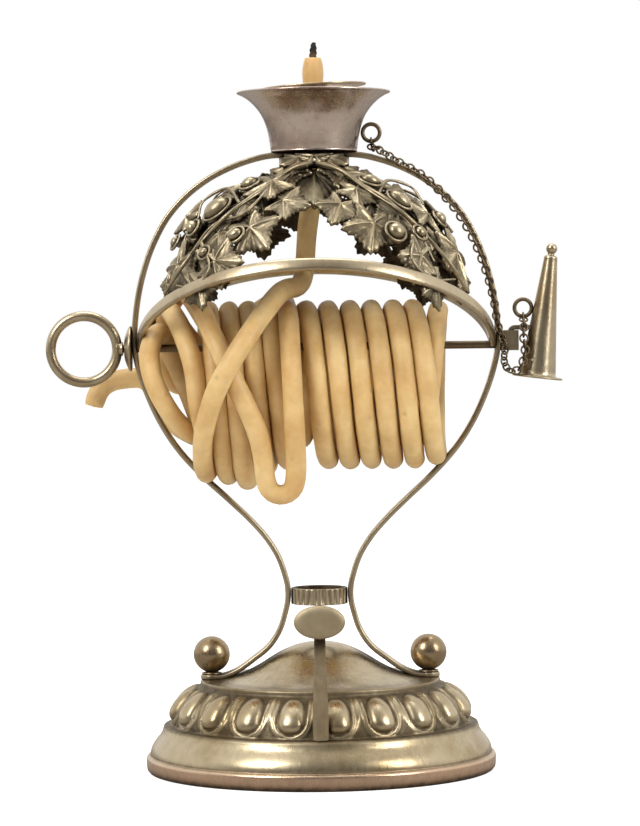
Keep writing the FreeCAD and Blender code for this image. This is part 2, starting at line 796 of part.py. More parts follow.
def chain_links():
    """Links along the route, each turned a quarter from the one before, square to both eyes."""
    route = Part.Wire(rounded_route([vertex.Point for vertex in chain_route().Vertexes], 0.45))
    count = 2 * int(round(route.Length / (2 * link_pitch)))
    points = route.discretize(count + 1)
    frames = chain_frames(points)
    last_way, last_across = frames[-1]
    twist = math.atan2(last_way.dot(last_across.cross(V(1, 0, 0))), last_across.dot(V(1, 0, 0)))
    links = []
    for number, (way, across) in enumerate(frames):
        angle = twist * number / count + math.pi / 2 * (number % 2)
        axis = across * math.cos(angle) + way.cross(across) * math.sin(angle)
        links.append(chain_link(points[number], way, axis))
    lowest = min(range(len(points)), key=lambda number: points[number].z)
    return links, lowest


washer_x = -(strap_outer_x + washer_gap)
boss_x = washer_x - washer_thickness - 2 * washer_gap
handle_ring_x = boss_x - handle_ring_radius - 1.2 * handle_wire_radius


def spindle():
    """Plain rod through both straps, from the ring handle to its blind bearing on the right."""
    left = boss_x - handle_boss_length
    right = strap_outer_x + spindle_tip_depth
    return Part.makeCylinder(spindle_radius, right - left, V(left, 0, pivot_height), V(1, 0, 0))


def spindle_washer():
    """Domed washer between the ring handle and the left strap."""
    bore = spindle_radius + spindle_play
    edge = 0.35 * washer_thickness
    points = [V(bore, 0, 0), V(washer_radius, 0, 0), V(washer_radius, 0, edge), V(bore, 0, washer_thickness)]
    edges = [Part.makeLine(points[0], points[1]), Part.makeLine(points[1], points[2])]
    edges.append(curve(points[2], (points[2] + points[3]) * 0.5 + V(0.1, 0, 0.25), points[3]))
    edges.append(Part.makeLine(points[3], points[0]))
    washer = revolved(edges)
    washer.rotate(V(0, 0, 0), V(0, 1, 0), -90)
    washer.translate(V(washer_x, 0, pivot_height))
    return washer


def ring_handle():
    """Finger ring with the boss that takes the spindle's end."""
    loop = ring(V(handle_ring_x, 0, pivot_height), V(0, 1, 0), handle_ring_radius, handle_wire_radius, 8)
    boss = Part.makeCylinder(handle_boss_radius, handle_boss_length, V(boss_x, 0, pivot_height), V(-1, 0, 0))
    rod = Part.makeCylinder(spindle_radius, handle_boss_length, V(boss_x, 0, pivot_height), V(-1, 0, 0))
    return loop.fuse(boss).cut(rod)


def side_station(forward, height, degrees):
    """Point and direction in the YZ plane, with forward measured towards the front."""
    angle = math.radians(degrees)
    return V(0, -forward, height), V(0, -math.cos(angle), math.sin(angle))


def handle_strap():
    """Scroll that rises from the ledge and curls forward to carry the thumb button."""
    stations = [
        side_station(band_radius + 0.8, ledge_height, 90),
        side_station(band_radius + 1.2, ledge_height + 8.0, 84),
        side_station(scroll_reach - 5.2, scroll_top - 7.5, 52),
        side_station(scroll_reach - scroll_thickness / 2, scroll_top, 90),
    ]
    return band(smooth_arcs(stations), V(1, 0, 0), scroll_thickness, scroll_width)


def thumb_button():
    """Flat oval button on the end of the scroll, its face to the front."""
    levels = []
    for share, depth in ((0.84, 0), (1.0, 0.3), (1.0, 0.6), (0.8, 1.0)):
        oval = Part.Ellipse(V(0, 0, depth * button_thickness), share * button_half_width,
                            share * button_half_height)
        levels.append(Part.Wire([oval.toShape()]))
    button = Part.makeLoft(levels, True, True)
    button.rotate(V(0, 0, 0), V(1, 0, 0), 90)
    button.translate(V(0, -scroll_reach, scroll_top + 0.3))
    return button


def cord_tube(edges, name):
    """Solid taper along a path, with its volume compared with section times length."""
    path = Part.Wire(edges)
    start = edges[0].valueAt(edges[0].FirstParameter)
    way = edges[0].tangentAt(edges[0].FirstParameter)
    section = polygon_section(start, way, taper_radius, cord_sides)
    pipe = Part.BRepOffsetAPI.MakePipeShell(path)
    pipe.add(section)
    pipe.build()
    pipe.makeSolid()
    tube = pipe.shape()
    expected = Part.Face(section).Area * path.Length
    print(name, "length", round(path.Length, 1), "volume share", round(tube.Volume / expected, 3),
          "tightest radius", round(tightest_radius(edges), 1))
    return tube


def coil_station(across, radius, top):
    """Top or bottom of a turn: the path runs back over the top and forward under the bottom."""
    side = 1 if top else -1
    return V(across, 0, coil_z + side * radius), V(0, side, 0)


def coil_stations():
    """Tail end, inner winding to the right, outer winding back to the left, rising end."""
    stations = []
    behind = inner_coil_radius + 0.8
    stations.append((V(-38.6, behind, coil_z + 1.9), V(0.999, 0.0, 0.04).normalize()))
    stations.append((V(-32.6, behind - 0.6, coil_z - 4.6), V(0.1, -0.2, -0.97).normalize()))
    stations.append(coil_station(-27.8, inner_coil_radius + 1.2, False))
    stations.append(coil_station(-35.4, inner_coil_radius + 1.8, True))
    for number in range(2 * inner_coil_turns + 1):
        across = inner_coil_start + inner_coil_pitch * number / 2
        stations.append(coil_station(across, inner_coil_radius, number % 2 == 1))
    stations.append(coil_station(across + climb_step, inner_coil_radius, True))
    regular = 2 * outer_regular_turns
    across = outer_coil_start
    for number in range(regular + 2 * loose_coil_turns + 1):
        loose = number - regular
        sag = loose_sag * (1 - loose / (2.5 * loose_coil_turns)) if loose > 0 and number % 2 == 0 else 0
        stations.append(coil_station(across, outer_coil_radius + sag, number % 2 == 1))
        across -= (outer_coil_pitch if number < regular else loose_coil_pitch) / 2
    stations.append((V(-22.4, -outer_coil_radius - 7.4, coil_z + 1.0), V(0.3, 0.02, 0.95).normalize()))
    return stations


def coil_edges():
    """Path of the wound taper with a straight diameter at each end."""
    stations = coil_stations()
    first, first_way = stations[0]
    last, last_way = stations[-1]
    lead_in = Part.makeLine(first - first_way * (2 * taper_radius), first)
    lead_out = Part.makeLine(last, last + last_way * (2 * taper_radius))
    return [lead_in] + arc_edges(smooth_arcs(stations)) + [lead_out]


def least_gap(edges):
    """Least clear distance between parts of the path that are over half a turn apart."""
    points = Part.Wire(edges).discretize(Distance=1.5)
    skip = int(math.pi * inner_coil_radius / 1.5 * 0.6)
    closest = 1e9
    for number, point in enumerate(points):
        for other in points[number + skip:]:
            closest = min(closest, (point - other).Length)
    return closest - 2 * taper_radius


def taper_coil():
    edges = coil_edges()
    print("coil least gap", round(least_gap(edges), 2))
    return cord_tube(edges, "taper_coil")


def riser_points():
    """Chosen points of the free stretch from the coil to the tip above the pan."""
    last, last_way = coil_stations()[-1]
    start = last + last_way * (2 * taper_radius)
    return [
        start,
        start + last_way * 5.0,
        V(-16.3, -19.2, 98.2),
        V(-11.2, -12.6, 104.2),
        V(-5.6, -5.6, 107.6),
        V(-1.2, -1.0, 111.2),
        V(-0.4, -0.1, 118.4),
        V(0, 0, collar_top - collar_height),
        V(0, 0, taper_top),
    ]


def taper_riser():
    points = riser_points()
    edges = rounded_route(points[:-1], 0.45)
    edges.append(Part.makeLine(points[-2], points[-1]))
    tube = cord_tube(edges, "taper_riser")
    socket = Part.makeCylinder(wick_radius, wick_socket, V(0, 0, taper_top - wick_socket))
    return tube.cut(socket)


def tail_points():
    """Chosen points of the free end that lies out to the left behind the ring handle."""
    first, first_way = coil_stations()[0]
    start = first - first_way * (2 * taper_radius)
    return [
        start,
        start - first_way * 3.0,
        start - first_way * 3.0 + V(-2.9, -0.3, -1.0),
        start - first_way * 3.0 + V(-4.6, -0.5, -3.9),
    ]


def taper_tail():
    return cord_tube(rounded_route(tail_points(), 0.45), "taper_tail")


def wick():
    """Cotton wick standing in the taper's tip."""
    return Part.makeCylinder(wick_radius, wick_top - taper_top + wick_socket, V(0, 0, taper_top - wick_socket))


def both_sides(shape):
    return Part.makeCompound([shape, mirrored_x(shape)])


def main():
    os.makedirs("parts", exist_ok=True)
    links, lowest = chain_links()
    right_strap = strap_right()
    front_arch = arch_front()
    front_garland = garland_front()
    nodes = {
        "base_shell": base_shell(),
        "ball_screws": both_sides(ball_screw()),
        "foot_nuts": both_sides(foot_nut()),
        "strap_right": right_strap,
        "strap_left": mirrored_x(right_strap),
        "waist_ring": waist_ring(),
        "arch_front": front_arch,
        "arch_rear": mirrored_y(front_arch),
        "garland_front": front_garland,
        "garland_rear": mirrored_y(front_garland),
        "drip_pan": drip_pan(),
        "nozzle": nozzle(),
        "ring_nut": ring_nut(),
        "pan_eye": pan_eye(),
        "drip_disc": drip_disc(),
        "chain": Part.makeCompound(links[:lowest]),
        "chain_tail": Part.makeCompound(links[lowest + 1:]),
        "extinguisher": extinguisher(),
        "extinguisher_eye": extinguisher_eye(),
        "extinguisher_hook": extinguisher_hook(),
        "hook_socket": hook_socket(),
        "spindle": spindle(),
        "spindle_washer": spindle_washer(),
        "ring_handle": ring_handle(),
        "handle_strap": handle_strap(),
        "thumb_button": thumb_button(),
        "taper_coil": taper_coil(),
        "taper_riser": taper_riser(),
        "taper_tail": taper_tail(),
        "wick": wick(),
    }
    for name, shape in nodes.items():
        shape.exportStep("parts/" + name + ".step")


main()
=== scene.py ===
import math

import bmesh
import bpy
import numpy as np
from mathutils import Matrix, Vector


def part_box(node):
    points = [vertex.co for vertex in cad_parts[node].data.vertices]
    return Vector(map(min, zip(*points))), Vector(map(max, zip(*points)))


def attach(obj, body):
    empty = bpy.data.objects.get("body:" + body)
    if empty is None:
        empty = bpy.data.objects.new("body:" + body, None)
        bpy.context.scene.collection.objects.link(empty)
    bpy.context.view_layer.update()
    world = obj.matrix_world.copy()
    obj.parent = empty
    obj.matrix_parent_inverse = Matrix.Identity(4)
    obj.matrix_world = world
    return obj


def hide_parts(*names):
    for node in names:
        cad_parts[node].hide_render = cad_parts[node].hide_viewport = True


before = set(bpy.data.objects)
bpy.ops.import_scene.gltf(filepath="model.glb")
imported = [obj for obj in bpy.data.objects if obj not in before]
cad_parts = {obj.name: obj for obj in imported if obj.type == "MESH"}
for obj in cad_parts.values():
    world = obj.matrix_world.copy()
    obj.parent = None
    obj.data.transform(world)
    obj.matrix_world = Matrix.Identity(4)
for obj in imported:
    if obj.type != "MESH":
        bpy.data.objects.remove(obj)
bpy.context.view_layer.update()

# Lengths below are in millimetres unless a line says otherwise
MM = 0.001
TAU = 2.0 * math.pi
PIVOT_Z = 93.0
COIL_Z = 84.55
TAPER_RADIUS = 2.2
PAD_X = 23.9
ARCH_RADIUS = 38.8
ARCH_TILT = math.radians(27.0)
GLOBE_RADIUS = 38.6
EGG_COUNT = 20
REED_COUNT = 26
EYE_RADIUS = 1.88
EYE_WIRE = 0.44
LINK_PITCH = 1.28
LINK_RADIUS = 0.86
LINK_WIRE = 0.21
LEAF_THICKNESS = 0.55
WARM_WHITE = (1.0, 0.985, 0.96)


# Surfaces

def new_mesh(name, points, faces, body="stand"):
    """Smooth object from arrays of points in millimetres and quads or triangles."""
    mesh = bpy.data.meshes.new(name)
    mesh.from_pydata((np.asarray(points, float) * MM).tolist(), [], [list(map(int, f)) for f in faces])
    mesh.validate()
    mesh.polygons.foreach_set("use_smooth", np.full(len(mesh.polygons), True))
    mesh.update()
    piece = bpy.data.objects.new(name, mesh)
    bpy.context.scene.collection.objects.link(piece)
    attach(piece, body)
    return piece


def mesh_points(mesh):
    """Points of a mesh as rows, in metres."""
    co = np.zeros(len(mesh.vertices) * 3)
    mesh.vertices.foreach_get("co", co)
    return co.reshape(-1, 3)


def grid_faces(rows, columns, wrap_rows=False, wrap_columns=False):
    """Quads of a rows by columns grid whose point (i, j) has index i * columns + j."""
    i = np.arange(rows if wrap_rows else rows - 1)[:, None]
    j = np.arange(columns if wrap_columns else columns - 1)[None, :]
    here, after = (i % rows) * columns, ((i + 1) % rows) * columns
    near, far = j % columns, (j + 1) % columns
    return np.stack([here + near, here + far, after + far, after + near], -1).reshape(-1, 4)


def tube_faces(rows, columns):
    """Quads of a tube and fans over its ends, whose middle points follow the tube's own points."""
    j = np.arange(columns)
    first, last = rows * columns, (rows - 1) * columns
    start = np.stack([np.full(columns, first), (j + 1) % columns, j], 1)
    end = np.stack([np.full(columns, first + 1), last + j, last + (j + 1) % columns], 1)
    return grid_faces(rows, columns, False, True).tolist() + start.tolist() + end.tolist()


def give_values(piece, name, values):
    """Stores one number per point, which the finishes read."""
    attribute = piece.data.attributes.new(name, "FLOAT", "POINT")
    attribute.data.foreach_set("value", np.asarray(values, np.float32).ravel())


def smoothstep(low, high, value):
    t = np.clip((value - low) / (high - low), 0.0, 1.0)
    return t * t * (3.0 - 2.0 * t)


def spline_through(points, count):
    """Catmull Rom curve: each span is a cubic through its two points with slopes from their neighbours."""
    p = np.asarray(points, float)
    p = np.vstack([2 * p[0] - p[1], p, 2 * p[-1] - p[-2]])
    spans = len(p) - 3
    u = np.linspace(0, spans - 1e-9, count)
    k = u.astype(int)
    t = (u - k)[:, None]
    a, b, c, d = p[k], p[k + 1], p[k + 2], p[k + 3]
    bend, twist = 2 * a - 5 * b + 4 * c - d, 3 * b - a - 3 * c + d
    return 0.5 * (2 * b + (c - a) * t + bend * t ** 2 + twist * t ** 3)


def evenly(points, count):
    """The same line with its points the same distance apart."""
    steps = np.linalg.norm(np.diff(points, axis=0), axis=1)
    length = np.concatenate([[0], np.cumsum(steps)])
    where = np.linspace(0, length[-1], count)
    return np.stack([np.interp(where, length, points[:, k]) for k in range(3)], 1)


def carried_frames(path, first_side):
    """Way along the path and a side direction carried along it without twist."""
    way = np.gradient(path, axis=0)
    way /= np.linalg.norm(way, axis=1)[:, None]
    sides = np.zeros_like(way)
    side = np.asarray(first_side, float)
    for k in range(len(way)):
        side = side - way[k] * side.dot(way[k])
        side /= np.linalg.norm(side)
        sides[k] = side
    return way, sides


def around(path, way, side, radius, angle):
    """Points on circles square to a path: path + radius * (side * cos(angle) + way x side * sin(angle))."""
    up = np.cross(way, side)
    return path[:, None] + radius[..., None] * (side[:, None] * np.cos(angle)[None, :, None]
                                                + up[:, None] * np.sin(angle)[None, :, None])


def swept(name, path, profile, first_side=(0, 1, 0), scale=None, body="stand"):
    """Profile carried along a path: path(i) + side(i) * px(j) * s(i, 0) + up(i) * py(j) * s(i, 1)."""
    path = np.asarray(path, float)
    way, side = carried_frames(path, first_side)
    up = np.cross(way, side)
    px, py = np.asarray(profile, float).T
    s = np.ones((len(path), 2)) if scale is None else np.asarray(scale, float)
    points = (path[:, None] + side[:, None] * (px[None, :, None] * s[:, None, None, 0])
              + up[:, None] * (py[None, :, None] * s[:, None, None, 1]))
    rows, columns = points.shape[:2]
    points = np.vstack([points.reshape(-1, 3), path[0], path[-1]])
    return outward(new_mesh(name, points, tube_faces(rows, columns), body))


def outward(piece):
    """Turns the faces outwards where the closed surface's signed volume is below nought."""
    mesh = piece.data
    co = mesh_points(mesh)
    mesh.calc_loop_triangles()
    tri = np.zeros(len(mesh.loop_triangles) * 3, int)
    mesh.loop_triangles.foreach_get("vertices", tri)
    a, b, c = (co[tri.reshape(-1, 3)[:, k]] for k in range(3))
    if np.einsum("ij,ij->i", a, np.cross(b, c)).sum() < 0:
        mesh.flip_normals()
    return piece


def outward_each(piece):
    """Recalculates the normals of every closed part of a piece."""
    shape = bmesh.new()
    shape.from_mesh(piece.data)
    bmesh.ops.remove_doubles(shape, verts=shape.verts, dist=1e-7)
    bmesh.ops.recalc_face_normals(shape, faces=shape.faces)
    shape.to_mesh(piece.data)
    shape.free()


def round_profile(radius, sides):
    """Circle: (radius * cos a, radius * sin a)."""
    angle = np.arange(sides) * TAU / sides
    return np.stack([np.cos(angle), np.sin(angle)], 1) * radius


def strip_profile(width, thickness, crown=0.12):
    """Flat strip with rounded corners, thicker in the middle by crown * (1 - (2 x / width)^2)."""
    angle = (np.arange(24) + 0.5) * TAU / 24
    c, s = np.cos(angle), np.sin(angle)
    x = np.sign(c) * np.abs(c) ** 0.35 * width / 2
    y = np.sign(s) * np.abs(s) ** 0.45 * thickness / 2
    return np.stack([x, y * (1 + crown * (1 - (2 * x / width) ** 2))], 1)


def nearest_share(piece, path, values):
    """Value of the path point that is nearest to each vertex of a piece."""
    gaps = np.linalg.norm((mesh_points(piece.data) * 1000)[:, None] - np.asarray(path)[None], axis=2)
    return np.asarray(values)[np.argmin(gaps, axis=1)]


def turned(name, profile, columns=128, bumps=None, body="stand"):
    """Closed profile of (radius, height) turned about Z; bumps(profile, angle) adds to the radius."""
    profile = np.asarray(profile, float)
    angle = np.arange(columns) * TAU / columns
    r = profile[:, 0][:, None] * np.ones(columns)
    z = profile[:, 1][:, None] * np.ones(columns)
    if bumps is not None:
        r = r + bumps(profile, angle)
    points = np.stack([r * np.cos(angle), r * np.sin(angle), z], -1)
    faces = grid_faces(len(profile), columns, True, True)
    return outward(new_mesh(name, points.reshape(-1, 3), faces, body))


def about_y(angle):
    """Matrix that turns about the Y axis."""
    c, s = math.cos(angle), math.sin(angle)
    return np.array([[c, 0, s], [0, 1, 0], [-s, 0, c]])


def rounded_run(corners, radius, steps=5):
    """Closed outline with each corner replaced by a short quadratic bend of that reach."""
    corners = np.asarray(corners, float)
    out = []
    count = len(corners)
    for k in range(count):
        before, here, after = corners[k - 1], corners[k], corners[(k + 1) % count]
        reach_a = min(radius, 0.45 * np.linalg.norm(before - here))
        reach_b = min(radius, 0.45 * np.linalg.norm(after - here))
        a = here + (before - here) / max(np.linalg.norm(before - here), 1e-9) * reach_a
        b = here + (after - here) / max(np.linalg.norm(after - here), 1e-9) * reach_b
        for t in np.linspace(0, 1, steps):
            out.append((1 - t) ** 2 * a + 2 * t * (1 - t) * here + t ** 2 * b)
    return np.array(out)


def placed(piece, shift, matrix=np.eye(3)):
    """Turns and moves the mesh itself, so that its object stays at the origin."""
    co = mesh_points(piece.data) @ np.asarray(matrix, float).T + np.asarray(shift, float) * MM
    piece.data.vertices.foreach_set("co", co.ravel())
    piece.data.update()


def joined(name, parts, body="stand"):
    """One piece from a list of (points, faces)."""
    faces, base = [], 0
    for p, f in parts:
        faces += (f + base).tolist()
        base += len(p)
    return new_mesh(name, np.vstack([p for p, f in parts]), faces, body)


# Camera, world, floor

camera_data = bpy.data.cameras.new("camera")
camera_data.lens = 147.6
camera_data.sensor_width = 36.0
camera_data.clip_start = 0.05
camera_data.clip_end = 20.0
camera = bpy.data.objects.new("camera", camera_data)
bpy.context.scene.collection.objects.link(camera)
camera.location = (0.0009, -0.745, 0.101)
camera.rotation_euler = (math.radians(90.0 - 1.74), math.radians(0.7), 0.0)
bpy.context.scene.camera = camera
bpy.context.scene.view_settings.view_transform = "Standard"


def node_tools(tree):
    """Short hands for an emptied tree: add(kind, sockets, settings) makes a node, link(a, b) joins sockets.

    A value in add's sockets is a number, a colour or the output that feeds the socket.
    """
    tree.nodes.clear()

    def add(kind, sockets=None, **settings):
        node = tree.nodes.new("ShaderNode" + kind)
        for key, value in settings.items():
            setattr(node, key, value)
        for key, value in (sockets or {}).items():
            if isinstance(value, bpy.types.NodeSocket):
                tree.links.new(value, node.inputs[key])
            else:
                node.inputs[key].default_value = value
        return node
    return add, tree.links.new


def bare_material(name):
    """Material with only its output node, and the short hands for its tree."""
    material = bpy.data.materials.new(name)
    material.use_nodes = True
    add, link = node_tools(material.node_tree)
    return material, add, link, add("OutputMaterial")


def studio_world():
    """White for the camera; metal sees the white backdrop behind and above and a dimmer room in front."""
    world = bpy.data.worlds.new("studio")
    bpy.context.scene.world = world
    world.use_nodes = True
    add, link = node_tools(world.node_tree)
    out = add("OutputWorld")
    path = add("LightPath")
    coords = add("TexCoord")
    split = add("SeparateXYZ", {0: coords.outputs["Generated"]})
    front = add("MapRange", {"Value": split.outputs["Y"], "From Min": -0.75, "From Max": 0.15,
                             "To Min": 0.10, "To Max": 1.0}, interpolation_type="SMOOTHSTEP")
    upper = add("MapRange", {"Value": split.outputs["Z"], "From Min": -0.1, "From Max": 0.8, "To Min": 0.0,
                             "To Max": 0.24}, interpolation_type="SMOOTHSTEP")
    both = add("Math", {0: front.outputs[0], 1: upper.outputs[0]}, operation="ADD", use_clamp=True)
    soft = add("Background", {"Color": (*WARM_WHITE, 1), "Strength": 0.50})
    room = add("Background", {"Strength": both.outputs[0], "Color": (*WARM_WHITE, 1)})
    white = add("Background", {"Color": (1, 1, 1, 1), "Strength": 1.0})
    gloss_mix = add("MixShader", {0: path.outputs["Is Glossy Ray"], 1: soft.outputs[0], 2: room.outputs[0]})
    seen = add("Math", {0: path.outputs["Is Camera Ray"], 1: path.outputs["Is Transmission Ray"]},
               operation="MAXIMUM")
    camera_mix = add("MixShader", {0: seen.outputs[0], 1: gloss_mix.outputs[0], 2: white.outputs[0]})
    link(camera_mix.outputs[0], out.inputs["Surface"])


def floor_stage():
    """Round pale table top, white to the camera where it is lit, with the object's shadow kept."""
    columns = 96
    angle = np.arange(columns) * TAU / columns
    rings = np.array([0.0005, 60.0, 400.0, 4000.0])
    flat = np.full((4, columns), -0.05)
    points = np.stack([rings[:, None] * np.cos(angle), rings[:, None] * np.sin(angle), flat], -1)
    mesh = bpy.data.meshes.new("table_top")
    mesh.from_pydata((points.reshape(-1, 3) * MM).tolist(), [], grid_faces(4, columns, False, True).tolist())
    top = bpy.data.objects.new("table_top", mesh)
    bpy.context.scene.collection.objects.link(top)
    material, add, link, out = bare_material("white_table")
    path = add("LightPath")
    card = add("BsdfDiffuse")
    glow = add("Emission", {"Strength": 0.68})
    total = add("AddShader", {0: card.outputs[0], 1: glow.outputs[0]})
    seen = add("Math", {0: path.outputs["Is Camera Ray"], 1: path.outputs["Is Transmission Ray"]},
               operation="MAXIMUM")
    mirrored = add("Mix", {0: path.outputs["Is Glossy Ray"], 6: (0.80, 0.80, 0.80, 1),
                           7: (0.44, 0.42, 0.39, 1)}, data_type="RGBA")
    link(mirrored.outputs[2], card.inputs["Color"])
    mix = add("MixShader", {0: seen.outputs[0], 1: card.outputs[0], 2: total.outputs[0]})
    link(mix.outputs[0], out.inputs["Surface"])
    mesh.materials.append(material)


def lamp(name, place, aim, size, power, colour=(1, 1, 1)):
    """Square soft lamp that faces a point."""
    data = bpy.data.lights.new(name, "AREA")
    data.shape = "RECTANGLE"
    data.size, data.size_y = size
    data.energy = power
    data.color = colour
    holder = bpy.data.objects.new(name, data)
    bpy.context.scene.collection.objects.link(holder)
    x, y, z = np.asarray(aim, float) - np.asarray(place, float)
    holder.location = place
    holder.rotation_euler = (math.atan2(math.hypot(x, y), -z), 0.0, math.atan2(y, x) - math.pi / 2)


studio_world()
floor_stage()
lamp("key_left", (-0.55, -0.55, 0.62), (0, 0, 0.08), (0.30, 0.50), 4.5, WARM_WHITE)
lamp("fill_right", (0.62, -0.42, 0.40), (0, 0, 0.08), (0.22, 0.45), 2.6, WARM_WHITE)
lamp("top", (0.0, 0.12, 0.85), (0, 0, 0.06), (0.5, 0.4), 2.5)


# Finishes

def plate_finish(name, light, dark, stain, roughness=0.22, stain_amount=0.6, grain=0.02, worn=None):
    """Old silver plate: brown stain patches, painted shade that darkens the hollows to brown black and leaves
    the crests bright, fine scratches.
    """
    material, add, link, out = bare_material(name)
    shader = add("BsdfPrincipled", {"Metallic": 1.0})
    coords = add("TexCoord")
    place = coords.outputs["Object"]
    cloud = add("TexNoise", {"Vector": place, "Scale": 70.0, "Detail": 6.0, "Roughness": 0.62})
    fine = add("TexNoise", {"Vector": place, "Scale": 620.0, "Detail": 4.0})
    streak_map = add("Mapping", {"Vector": place, "Scale": (900.0, 900.0, 90.0)})
    streak = add("TexNoise", {"Vector": streak_map.outputs[0], "Scale": 1.0, "Detail": 2.0})
    patches = add("MapRange", {"Value": cloud.outputs["Fac"], "From Min": 0.42, "From Max": 0.68,
                               "To Max": stain_amount}, interpolation_type="SMOOTHSTEP")
    stained = add("Mix", {0: patches.outputs[0], 6: (*light, 1), 7: (*stain, 1)}, data_type="RGBA")
    ground = stained.outputs[2]
    if worn:
        rubbed = add("Attribute", attribute_name="worn")
        brushed = add("Mix", {0: rubbed.outputs["Fac"], 6: ground, 7: (*worn, 1)}, data_type="RGBA")
        ground = brushed.outputs[2]
    # painted shade: ambient occlusion darkens hollows and creases towards the dark colour
    hollow = add("AmbientOcclusion", {"Distance": 0.0035}, samples=8)
    closed = add("MapRange", {"Value": hollow.outputs["AO"], "From Min": 0.30, "From Max": 0.95,
                              "To Min": 0.85, "To Max": 0.0}, interpolation_type="SMOOTHSTEP")
    # painted shade that the builders store per point, taken together with the occlusion shade
    painted_shade = add("Attribute", attribute_name="painted_shade")
    most = add("Math", {0: painted_shade.outputs["Fac"], 1: closed.outputs[0]}, operation="MAXIMUM")
    # fine random speckle is added on top of the painted shade
    speckle = add("Math", {0: fine.outputs["Fac"], 1: 0.5, 2: -0.25}, operation="MULTIPLY_ADD")
    shade_and_speckle = add("Math", {0: most.outputs[0], 1: speckle.outputs[0]}, operation="ADD", use_clamp=True)
    colour = add("Mix", {0: shade_and_speckle.outputs[0], 6: ground, 7: (*dark, 1)}, data_type="RGBA")
    link(colour.outputs[2], shader.inputs["Base Color"])
    rough = add("Math", {0: shade_and_speckle.outputs[0], 1: 0.34, 2: roughness}, operation="MULTIPLY_ADD")
    rough_2 = add("Math", {0: streak.outputs["Fac"], 1: 0.16, 2: rough.outputs[0]},
                  operation="MULTIPLY_ADD")
    link(rough_2.outputs[0], shader.inputs["Roughness"])
    uneven = add("Bump", {"Strength": 0.35, "Distance": grain * 0.01})
    mixed = add("Math", {0: fine.outputs["Fac"], 1: 0.5, 2: cloud.outputs["Fac"]}, operation="MULTIPLY_ADD")
    link(mixed.outputs[0], uneven.inputs["Height"])
    link(uneven.outputs[0], shader.inputs["Normal"])
    link(shader.outputs[0], out.inputs["Surface"])
    return material


def wax_finish():
    """Old beeswax: honey and cream clouds, small dark specks, painted shade in the hollows between strands,
    light passing a little way in.
    """
    material, add, link, out = bare_material("old_wax")
    shader = add("BsdfPrincipled", {"Roughness": 0.42, "Subsurface Weight": 0.5,
                                    "Subsurface Radius": (1.0, 0.55, 0.22), "Subsurface Scale": 0.0022,
                                    "Specular IOR Level": 0.4})
    coords = add("TexCoord")
    place = coords.outputs["Object"]
    cloud = add("TexNoise", {"Vector": place, "Scale": 110.0, "Detail": 5.0, "Roughness": 0.6})
    ramp = add("ValToRGB", {0: cloud.outputs["Fac"]})
    ramp.color_ramp.elements[0].position = 0.30
    ramp.color_ramp.elements[0].color = (0.60, 0.37, 0.140, 1)
    ramp.color_ramp.elements[1].position = 0.68
    ramp.color_ramp.elements[1].color = (0.80, 0.59, 0.28, 1)
    specks = add("TexVoronoi", {"Vector": place, "Scale": 120.0}, feature="F1")
    spot = add("MapRange", {"Value": specks.outputs["Distance"], "From Min": 0.02, "From Max": 0.09,
                            "To Min": 0.35, "To Max": 0.0})
    spotted = add("Mix", {0: spot.outputs[0], 6: ramp.outputs["Color"], 7: (0.26, 0.15, 0.06, 1)},
                  data_type="RGBA")
    # painted shade: ambient occlusion darkens the wax between strands towards a deep honey brown
    hollow = add("AmbientOcclusion", {"Distance": 0.004}, samples=8)
    painted_crease_shade = add("MapRange", {"Value": hollow.outputs["AO"], "From Min": 0.25, "From Max": 0.95,
                            "To Min": 0.42, "To Max": 0.0})
    final = add("Mix", {0: painted_crease_shade.outputs[0], 6: spotted.outputs[2], 7: (0.50, 0.27, 0.085, 1)},
                data_type="RGBA")
    link(final.outputs[2], shader.inputs["Base Color"])
    fine = add("TexNoise", {"Vector": place, "Scale": 420.0, "Detail": 5.0})
    total = add("Math", {0: fine.outputs["Fac"], 1: 0.35, 2: cloud.outputs["Fac"]},
                operation="MULTIPLY_ADD")
    bump = add("Bump", {"Height": total.outputs[0], "Strength": 0.5, "Distance": 0.0005})
    link(bump.outputs[0], shader.inputs["Normal"])
    link(shader.outputs[0], out.inputs["Surface"])
    return material


def wick_finish():
    """Charred cotton, black at the tip and brown where it leaves the wax."""
    material, add, link, out = bare_material("charred_cotton")
    shader = add("BsdfPrincipled", {"Roughness": 0.9})
    coords = add("TexCoord")
    split = add("SeparateXYZ", {0: coords.outputs["Object"]})
    height = add("MapRange", {"Value": split.outputs["Z"], "From Min": 0.1562, "From Max": 0.1578})
    colour = add("Mix", {0: height.outputs[0], 6: (0.16, 0.09, 0.04, 1), 7: (0.016, 0.014, 0.012, 1)},
                 data_type="RGBA")
    link(colour.outputs[2], shader.inputs["Base Color"])
    fuzz = add("TexNoise", {"Vector": coords.outputs["Object"], "Scale": 2500.0})
    bump = add("Bump", {"Height": fuzz.outputs["Fac"], "Distance": 0.0002})
    link(bump.outputs[0], shader.inputs["Normal"])
    link(shader.outputs[0], out.inputs["Surface"])
    return material


